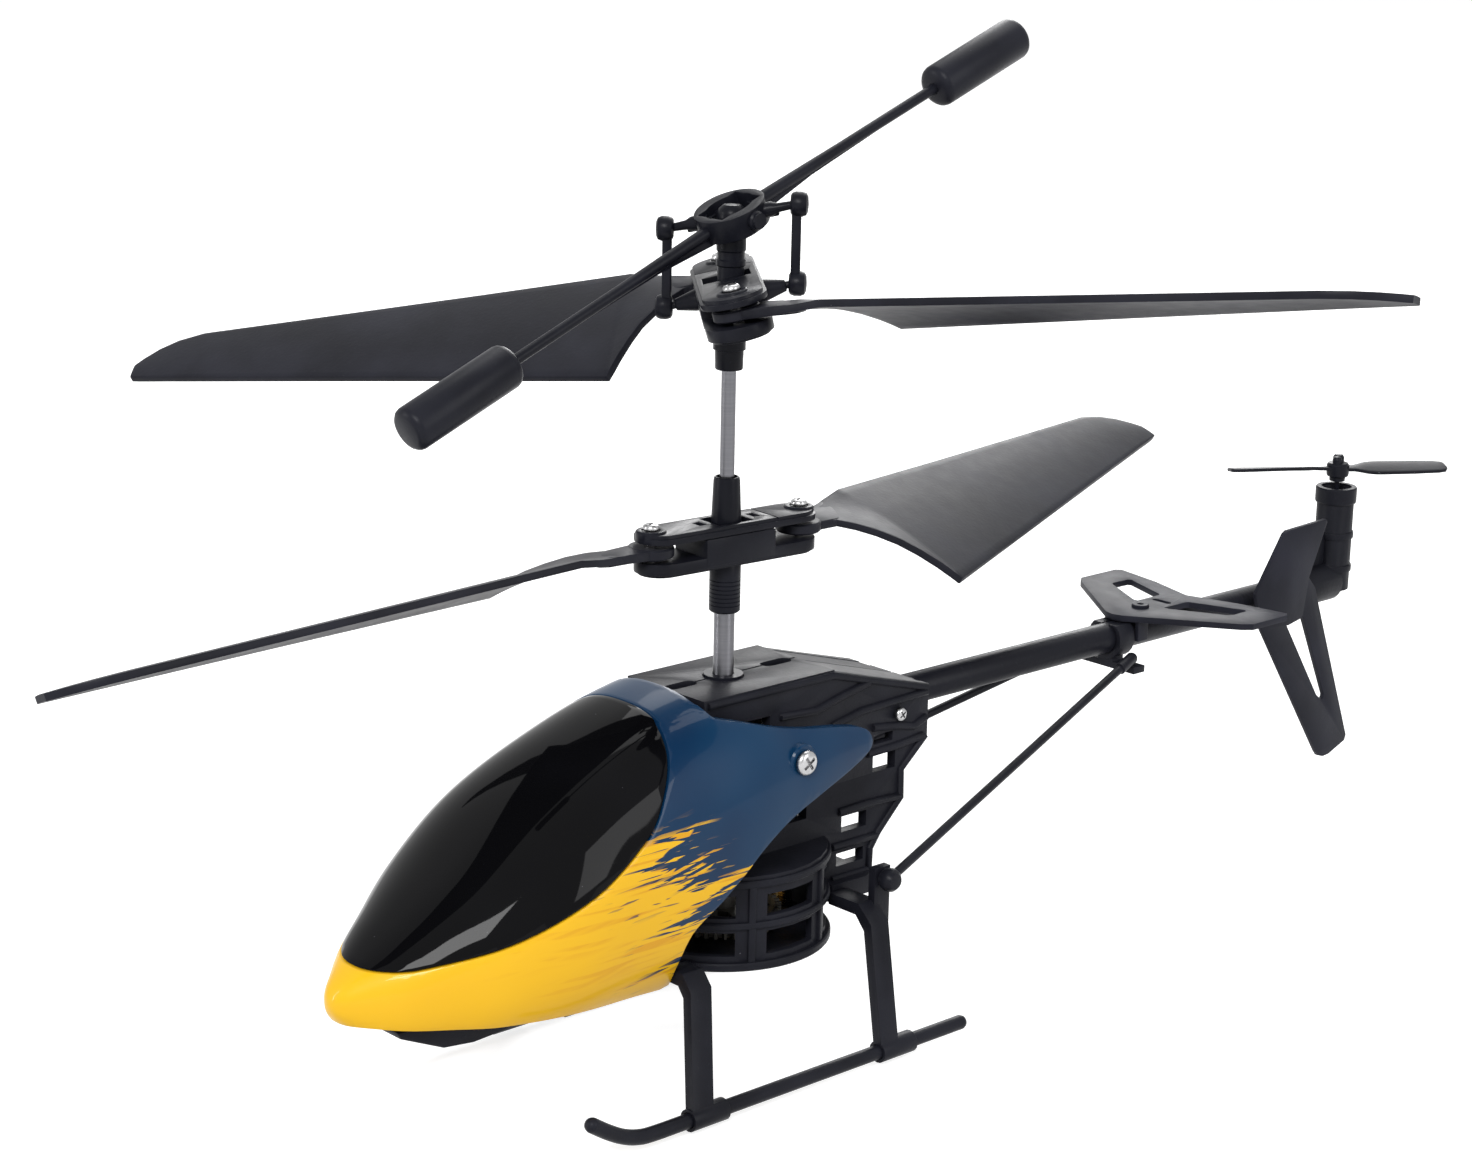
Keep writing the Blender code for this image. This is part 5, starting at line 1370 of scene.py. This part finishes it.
@dataclass
class Frame:
    """Split frame with its ledges and cage ribs, and the screws that clamp the boom."""

    rib_bore: float = 13.9
    ledge_side: float = 7.5
    ledge_radius: float = 0.55
    stay_angles: tuple[float, ...] = (-78, -25, 25, 76)
    clamp_screw: Point3 = (7.8, 25.2, 42.5)
    ribs: tuple[tuple[float, float, float], ...] = (
        (15.3, 16.4, 14.95), (20.9, 21.8, 14.75), (26.5, 27.5, 14.75))
    ledges: tuple[tuple[Point2, ...], ...] = (
        ((-9.4, 50.2), (12.6, 50.2), (30.6, 45.2)),
        ((3.3, 46.3), (9.8, 45.9), (14.3, 47.0), (19.4, 48.0)),
        ((12.8, 43.1), (18.2, 44.2), (25.2, 44.4), (30.6, 44.6)),
        ((20.4, 41.4), (25.3, 40.8), (28.2, 40.1), (30.6, 41.0)),
        ((19.5, 37.9), (24.8, 38.0), (30.2, 38.4)),
        ((14.4, 30.8), (19.1, 30.9), (26.0, 30.6)),
        ((13.4, 26.0), (18.0, 26.0), (21.6, 26.0)),
        ((13.4, 21.4), (20.4, 21.4)),
        ((20.4, 21.6), (20.5, 24.4), (22.0, 26.5), (26.1, 30.5), (26.0, 34.5), (30.5, 38.4)))

    def build(self) -> None:
        """Model both halves and dress them."""
        for name, side in (("left", 1), ("right", -1)):
            half = Bench.from_node("frame_half_" + name, "frame_" + name)
            Bench.ease(half, 0.22, 2, 40.0)
            extra = []
            for ledge in self.ledges:
                path = [(side * self.ledge_side, y, z) for y, z in ledge]
                extra.append(Bench.sweep("ledge", path, self.ledge_radius, 4))
            for low, high, radius in self.ribs:
                bore = self.rib_bore
                ring = Bench.lathe("rib", [(bore, low), (radius - 0.15, low), (radius, low + 0.2),
                                           (radius, high - 0.2), (radius - 0.15, high), (bore, high),
                                           (bore, low)], 72)
                Bench.take(ring)
                bpy.ops.object.mode_set(mode="EDIT")
                bpy.ops.mesh.select_all(action="SELECT")
                bpy.ops.mesh.bisect(plane_co=(side * 0.15, 0.0, 0.0), plane_no=(side, 0.0, 0.0),
                                    use_fill=True, clear_inner=True)
                bpy.ops.object.mode_set(mode="OBJECT")
                extra.append(Bench.tidy(ring))
            for angle in self.stay_angles:
                fin = Bench.block("stay", (self.rib_bore, -0.5, 15.5), (14.65, 0.5, 27.4), 0.15)
                extra.append(Bench.turn(fin, angle if side > 0 else 180 - angle, (0, 0, 1)))
            Bench.gather(half, *extra)
            Bench.settle(half, Finish.FRAME, "airframe", "frame_" + name)
        head = Screw(head_radius=0.95, head_height=0.7, shank_radius=0.5,
                     shank_length=5.5).build("clamp_screw")
        x, y, z = self.clamp_screw
        for name, side in (("left", 1), ("right", -1)):
            screw = Bench.aim(Bench.twin(head, "clamp_screw_head_" + name), (side * x, y, z), (side, 0, 0))
            Bench.settle(screw, Finish.ZINC, "airframe", "clamp_screw_" + name)
        bpy.data.objects.remove(head)


@dataclass
class LandingGear:
    """Skid rods with upturned toes, and the four legs."""

    track: float = 20.0
    radius: float = 1.0
    path: tuple[Point2, ...] = ((-38.6, 5.6), (-36.0, 3.9), (-33.6, 2.6), (-31.2, 1.8), (-28.4, 1.5),
                                (-20.0, 1.5), (-10.0, 1.5), (10.0, 1.5), (26.4, 1.5))

    def build(self) -> None:
        """Model the skids and legs, and dress them."""
        line = [(self.track, y, z) for y, z in curve_through(self.path, 5)]
        skid = Bench.sweep("skid_rod_left", line, self.radius, 6)
        tip = Bench.lathe("tip", [(0.0, -0.4), (1.0, -0.4), (0.97, 0.1), (0.8, 0.5), (0.45, 0.75),
                                  (0.0, 0.85)], 28)
        ends = [Bench.aim(Bench.twin(tip, "toe"), line[0], (0.0, -0.84, 0.54)),
                Bench.aim(tip, line[-1], (0.0, 1.0, 0.0))]
        Bench.gather(skid, *ends)
        other = Bench.mirror(skid, "skid_rod_right")
        for piece, name in ((skid, "left"), (other, "right")):
            Bench.settle(piece, Finish.GEAR_LEG, "airframe", "skid_" + name)
        for end in ("front", "rear"):
            for name in ("left", "right"):
                node = f"leg_{end}_{name}"
                leg = Bench.from_node(f"{end}_strut_leg_{name}", node)
                Bench.settle(Bench.ease(leg, 0.4, 3, 40.0), Finish.GEAR_LEG, "airframe", node)


@dataclass
class Tail:
    """Boom, tail surfaces, struts, tail motor housing and tail rotor."""

    boom_radius: float = 2.2
    boom_z: float = 42.3
    boom_span: tuple[float, float] = (27.0, 126.0)
    strut_eye: Point3 = (17.0, 14.8, 23.9)
    strut_end: Point3 = (5.0, 76.5, 40.4)
    rotor_y: float = 129.5
    rotor_z: float = 60.2
    azimuth: float = 236.5
    stabiliser_half: tuple[Point2, ...] = (
        (0.0, 77.2), (1.6, 77.6), (15.6, 87.8), (16.7, 89.2), (16.7, 97.0), (16.0, 97.8), (8.0, 96.4),
        (0.0, 94.0))
    stabiliser_hole: tuple[Point2, ...] = (
        (2.6, 85.9), (3.4, 85.9), (11.2, 90.1), (11.6, 90.8), (11.5, 94.0), (11.0, 94.3), (2.9, 91.3),
        (2.6, 90.8))
    fin_outline: tuple[Point2, ...] = (
        (112.4, 53.6), (121.9, 54.0), (122.2, 53.5), (118.5, 45.2), (120.2, 43.4), (130.9, 17.3),
        (130.6, 16.4), (126.6, 14.9), (125.2, 14.8), (124.0, 15.2), (123.3, 16.0), (107.4, 38.9),
        (105.6, 44.6), (111.7, 53.2))
    fin_hole: tuple[Point2, ...] = (
        (113.6, 38.5), (114.0, 38.3), (117.2, 38.9), (117.5, 39.3), (124.3, 25.2), (124.2, 24.7),
        (123.6, 24.6), (122.4, 25.6))
    fin_side: float = 3.4
    fin_thick: float = 0.8
    band_heights: tuple[float, ...] = (44.0, 49.3)
    paddle_stations: tuple[tuple[float, float, float, float], ...] = (
        (1.0, 1.0, -1.0, 4.0), (2.6, 0.8, -0.9, 10.0), (4.4, 1.5, -1.6, 15.0), (6.0, 1.9, -2.0, 14.0),
        (12.0, 1.95, -2.05, 12.0), (16.0, 1.85, -1.95, 10.0), (17.2, 1.5, -1.6, 10.0),
        (17.6, 0.9, -1.0, 10.0))
    paddle_spans: tuple[float, ...] = (
        *(1.0 + 0.4 * k for k in range(13)), *(7.0 + k for k in range(9)), 15.5, 16.0, 16.5, 16.9, 17.2,
        17.4, 17.58)

    def _boom(self) -> None:
        """Moulded boom tube with chamfered ends."""
        front, rear = self.boom_span
        r = self.boom_radius
        length = rear - front
        boom = Bench.lathe("boom_tube", [(1.7, 0.0), (r - 0.1, 0.0), (r, 0.15), (r, length - 0.15),
                                         (r - 0.1, length), (1.7, length), (1.7, 0.0)], 48)
        Bench.aim(boom, (0.0, front, self.boom_z), (0, 1, 0))
        Bench.settle(boom, Finish.BOOM, "airframe", "tail_boom")

    def _struts(self) -> None:
        """Straight struts with a ball eye and an end sleeve."""
        start, end = Vector(self.strut_eye), Vector(self.strut_end)
        run = end - start
        length = run.length
        rod = Bench.lathe("strut_rod_left", [(0.0, 0.0), (0.62, 0.0), (0.62, length - 4.0),
                                             (0.86, length - 3.9), (0.86, length - 0.3), (0.7, length),
                                             (0.0, length)], 24)
        Bench.aim(rod, start, run)
        ball = Bench.lathe("ball", [(0.0, -1.3), (0.8, -1.2), (1.35, -0.8), (1.62, 0.0), (1.5, 0.7),
                                    (1.05, 1.2), (0.0, 1.35)], 32)
        Bench.gather(rod, Bench.aim(ball, start + Vector((0.1, 0.0, 0.0)), (1, 0, 0)))
        other = Bench.mirror(rod, "strut_rod_right")
        for piece, name in ((rod, "left"), (other, "right")):
            Bench.settle(piece, Finish.GEAR_LEG, "airframe", "strut_" + name)

    def _stabiliser(self) -> None:
        """Stabiliser plate with its openings, screw boss and boom clips."""
        half = list(self.stabiliser_half)
        stab = Bench.plate("stabiliser_plate", half + [(-x, y) for x, y in reversed(half[1:-1])], 44.8, 45.7)
        for side in (1, -1):
            hole = [(x * side, y) for x, y in self.stabiliser_hole]
            Bench.cut(stab, Bench.plate("hole", hole, 40.0, 50.0))
        Bench.cut(stab, Bench.shift(Bench.plate("slot", stadium(1.7, 0.5), 40.0, 50.0), 0.0, 88.4, 0.0))
        boss = Bench.lathe("boss", [(0.5, 45.2), (1.3, 45.2), (1.3, 46.0), (1.15, 46.15), (0.5, 46.15),
                                    (0.5, 45.2)], 28)
        Bench.ease(Bench.tidy(stab), 0.14, 2, 40.0)
        clips = [Bench.block("clip", (x, 79.4, 41.7), (x + 0.7, 81.6, 45.2), 0.12) for x in (2.6, -3.3)]
        Bench.gather(stab, Bench.shift(boss, 0.0, 83.5, 0.0), *clips)
        Bench.settle(stab, Finish.TAIL, "airframe", "stabiliser")

    def _fin(self) -> None:
        """Fin plate with its opening and the disc on its inner face."""
        side = self.fin_side
        fin = Bench.plate("fin_plate", self.fin_outline, side, side + self.fin_thick, Plane.SIDE)
        Bench.cut(fin, Bench.plate("hole", self.fin_hole, 0.0, 9.0, Plane.SIDE))
        Bench.ease(Bench.tidy(fin), 0.14, 2, 40.0)
        disc = Bench.lathe("disc", [(0.0, -0.5), (2.2, -0.5), (2.2, 0.18), (2.0, 0.3), (0.0, 0.3)], 36)
        Bench.gather(fin, Bench.aim(disc, (side - 0.2, 112.5, 43.0), (-1, 0, 0)))
        Bench.settle(fin, Finish.TAIL, "airframe", "vertical_fin")

    def _motor(self) -> None:
        """Housing with collar, windows and web, and the clamp under the stabiliser."""
        housing = Bench.from_node("tail_housing", "tail_motor_housing")
        Bench.ease(housing, 0.15, 2, 45.0)
        collar = Bench.lathe("collar", [(2.45, 54.9), (3.1, 54.9), (3.2, 55.1), (3.2, 57.2), (3.05, 57.4),
                                        (2.35, 57.4), (2.35, 54.9)], 48)
        bands = [Bench.lathe("band", [(2.8, z), (3.05, z), (3.1, z + 0.15), (3.1, z + 0.85),
                                      (3.05, z + 1.0), (2.8, z + 1.0), (2.8, z)], 48)
                                      for z in self.band_heights]
        web = Bench.plate("web", [(119.0, 44.6), (126.9, 44.6), (126.9, 50.6), (125.8, 50.2)], -0.5, 0.5,
                          Plane.SIDE)
        rings = [Bench.shift(piece, 0.0, self.rotor_y, 0.0) for piece in (collar, *bands)]
        Bench.gather(housing, Bench.ease(web, 0.15, 2), *rings)
        Bench.settle(housing, Finish.FRAME, "airframe", "tail_motor_housing")
        clamp = Bench.ease(Bench.from_node("boom_clamp", "strut_clamp"), 0.2, 2, 40.0)
        Bench.settle(clamp, Finish.FRAME, "airframe", "strut_clamp")

    def _rotor(self) -> None:
        """Two-paddle tail rotor with a stepped hub."""
        hub = Bench.lathe("tail_propeller", [(0.0, -5.6), (0.4, -5.6), (0.4, -2.0), (1.2, -1.9),
                                             (1.25, -1.3), (1.65, -1.1), (1.75, -0.7), (1.75, 0.6),
                                             (1.5, 0.95), (0.9, 1.1), (0.85, 1.9), (0.6, 2.25), (0.0, 2.3)],
                                             40)
        plan = Blade(self.paddle_stations, self.paddle_spans, thick=0.55, camber=0.03, across=8, edge=0.12)
        parts = []
        for side in (0, 180):
            parts.append(Bench.turn(plan.skin("paddle"), self.azimuth + side, (0, 0, 1)))
            knob = Bench.lathe("knob", [(0.0, 0.6), (0.65, 0.6), (0.75, 1.6), (0.5, 2.05), (0.0, 2.15)], 20)
            parts.append(Bench.turn(Bench.shift(knob, 0.95, 0.0, 0.0), self.azimuth + side + 60, (0, 0, 1)))
        Bench.gather(hub, *parts)
        Bench.settle(Bench.shift(hub, 0.0, self.rotor_y, self.rotor_z), Finish.HUB, "tail_rotor",
                     "tail_rotor")

    def build(self) -> None:
        """Model the tail and dress it."""
        self._boom()
        self._struts()
        self._stabiliser()
        self._fin()
        self._motor()
        self._rotor()


@dataclass
class Inside:
    """Solids that keep their shape and take a finish: drive, motors, tray and electronics."""

    finishes: tuple[tuple[Finish, tuple[str, ...]], ...] = (
        (Finish.NYLON, ("inner_gear", "outer_gear")),
        (Finish.BRASS, ("pinion_front", "pinion_rear", "lower_bush")),
        (Finish.CAN, ("main_motor_front", "main_motor_rear", "tail_motor")),
        (Finish.STEEL, ("holder_pin",)),
        (Finish.HUB, ("flybar_pin", "switch_body", "switch_slider", "deck_bush")),
        (Finish.BOARD, ("circuit_board",)),
        (Finish.POUCH, ("battery",)))

    def build(self) -> None:
        """Dress the solids, and ease the tray."""
        tray = Bench.ease(Bench.from_node("tray_shell", "battery_tray"), 0.25, 2, 40.0)
        Bench.settle(tray, Finish.FRAME, "airframe", "battery_tray")
        for finish, nodes in self.finishes:
            for node in nodes:
                solid = bpy.data.objects[node]
                solid.data.materials.clear()
                solid.data.materials.append(finish.material())
                LOG.info("%s keeps its shape and takes %s", node, finish.name)


# Studio


@dataclass
class Lamp:
    """Soft box aimed at a point, in metres about the shaft."""

    name: str
    place: Point3
    aim: Point3
    size: tuple[float, float]
    power: float

    def build(self) -> None:
        """Hang the lamp."""
        data = bpy.data.lights.new(self.name, "AREA")
        data.shape = "RECTANGLE"
        data.size, data.size_y = self.size
        data.energy = self.power
        lamp = bpy.data.objects.new(self.name, data)
        bpy.context.scene.collection.objects.link(lamp)
        shaft = Vector((SHAFT_X * MM, SHAFT_Y * MM, 0.0))
        lamp.location = Vector(self.place) + shaft
        lamp.rotation_euler = (Vector(self.place) - Vector(self.aim)).to_track_quat("Z", "Y").to_euler()


@dataclass
class Studio:
    """Camera, pale floor, white surround and soft boxes."""

    azimuth: float = 47.534
    elevation: float = 15.089
    roll: float = 1.088
    distance: float = 409.7
    target: float = 63.2
    lens: float = 77.37
    shift: tuple[float, float] = (0.00755, -0.00152)
    fill: float = 0.42
    floor_glow: float = 0.74
    lamps: tuple[Lamp, ...] = (
        Lamp("key_box", (0.55, -0.75, 0.75), (0.0, 0.0, 0.05), (0.44, 0.34), 11.0),
        Lamp("top_box", (-0.35, 0.55, 1.05), (0.0, 0.0, 0.05), (0.9, 0.9), 7.0),
        Lamp("nose_box", (-0.50, -0.80, 0.30), (0.0, -0.05, 0.03), (0.10, 0.55), 3.0),
        Lamp("right_box", (0.85, 0.25, 0.40), (0.0, 0.0, 0.05), (0.3, 0.6), 3.0),
        Lamp("back_box", (-0.55, 0.70, 0.45), (0.0, 0.0, 0.06), (0.3, 0.4), 3.0))

    def _camera(self) -> None:
        """Stand the camera where the photograph was taken."""
        data = bpy.data.cameras.new("camera")
        data.sensor_fit = "HORIZONTAL"
        data.sensor_width = 36.0
        data.lens = self.lens
        data.shift_x, data.shift_y = self.shift
        data.clip_start = 0.01
        camera = bpy.data.objects.new("camera", data)
        bpy.context.scene.collection.objects.link(camera)
        az, el, roll = (math.radians(v) for v in (self.azimuth, self.elevation, self.roll))
        back = Vector((math.sin(az) * math.cos(el), -math.cos(az) * math.cos(el), math.sin(el)))
        right = (-back).cross(Vector((0, 0, 1))).normalized()
        up = right.cross(-back)
        right, up = (math.cos(roll) * right + math.sin(roll) * up,
                     -math.sin(roll) * right + math.cos(roll) * up)
        place = Vector((SHAFT_X, SHAFT_Y, self.target)) * MM + back * self.distance * MM
        matrix = Matrix((right, up, back)).transposed().to_4x4()
        camera.matrix_world = Matrix.Translation(place) @ matrix
        bpy.context.scene.camera = camera

    def _surround(self) -> None:
        """White background, dim fill for the object."""
        world = bpy.data.worlds.new("surround")
        bpy.context.scene.world = world
        world.use_nodes = True
        tree = world.node_tree
        path = tree.nodes.new("ShaderNodeLightPath")
        seen = path.outputs["Is Camera Ray"]
        for kind in ("Is Glossy Ray", "Is Transmission Ray"):
            either = tree.nodes.new("ShaderNodeMath")
            either.operation = "MAXIMUM"
            tree.links.new(seen, either.inputs[0])
            tree.links.new(path.outputs[kind], either.inputs[1])
            seen = either.outputs[0]
        strength = tree.nodes.new("ShaderNodeMapRange")
        strength.inputs["To Min"].default_value = self.fill
        strength.inputs["To Max"].default_value = 1.0
        tree.links.new(seen, strength.inputs["Value"])
        back = tree.nodes["Background"]
        back.inputs["Color"].default_value = (1.0, 1.0, 1.0, 1.0)
        tree.links.new(strength.outputs["Result"], back.inputs["Strength"])

    def _floor(self) -> None:
        """Pale floor that keeps a soft shadow."""
        Bench.clear()
        bpy.ops.mesh.primitive_circle_add(vertices=96, radius=6.0, fill_type="NGON",
                                          location=(0.0, 0.0, -0.0004))
        floor = bpy.context.object
        floor.name = "studio_floor"
        recipe = Recipe("pale_floor")
        path = recipe.add("ShaderNodeLightPath")
        glow = recipe.add("ShaderNodeEmission")
        glow.inputs["Strength"].default_value = self.floor_glow
        matte = recipe.add("ShaderNodeBsdfDiffuse")
        mottle = recipe.grain(12.0, 2.0)
        recipe.feed(matte.inputs["Color"], recipe.blend(mottle, (0.52, 0.52, 0.52), (0.56, 0.56, 0.56)))
        both = recipe.add("ShaderNodeAddShader")
        recipe.feed(both.inputs[0], glow.outputs[0])
        recipe.feed(both.inputs[1], matte.outputs[0])
        mix = recipe.add("ShaderNodeMixShader")
        glossy, through, camera = (
            Tone(recipe, path.outputs[f"Is {kind} Ray"]) for kind in ("Glossy", "Transmission", "Camera"))
        recipe.feed(mix.inputs[0], glossy.most(through).most(camera))
        recipe.feed(mix.inputs[1], matte.outputs[0])
        recipe.feed(mix.inputs[2], both.outputs[0])
        recipe.feed(recipe.tree.nodes["Material Output"].inputs["Surface"], mix.outputs[0])
        floor.data.materials.append(recipe.material)

    def build(self) -> None:
        """Set up the studio."""
        bpy.context.scene.view_settings.view_transform = "Standard"
        self._camera()
        self._surround()
        self._floor()
        for lamp in self.lamps:
            lamp.build()
        LOG.info("studio ready with %d soft boxes", len(self.lamps))


def main() -> None:
    """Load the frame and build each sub-assembly in order."""
    logging.basicConfig(level=logging.INFO, format="%(name)s: %(message)s")
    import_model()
    Studio().build()
    flybar = Flybar()
    lower = Rotor("lower", RotorPlace(LOWER_AZIMUTH, 69.35), "lower_hub",
                  hub_nodes=("lower_hub", "lower_hub_cap"),
                  half_length=14.0, half_width=3.3, opening=(2.8, 2.2), lead_side=1.0,
                  blades=(BladeSeat("left", 1, 0.0, 3.3), BladeSeat("right", -1, 12.8, 0.0)))
    upper = Rotor("upper", RotorPlace(UPPER_AZIMUTH, 101.0, 13.6), "upper_holder",
                  hub_nodes=("upper_blade_holder", "upper_holder_cap"),
                  half_length=16.3, half_width=4.2, opening=(2.0, 3.1), lead_side=-1.0,
                  blades=(BladeSeat("left", -1, 74.0, -1.8), BladeSeat("right", 1, 59.2, 5.3)))
    Canopy().build()
    lower.build()
    upper.build(flybar.studs())
    for part in (Masts(), flybar, Frame(), LandingGear(), Tail(), Inside()):
        part.build()
    Bench.clear()
    LOG.info("sizes written")


if __name__ == "__main__":
    main()
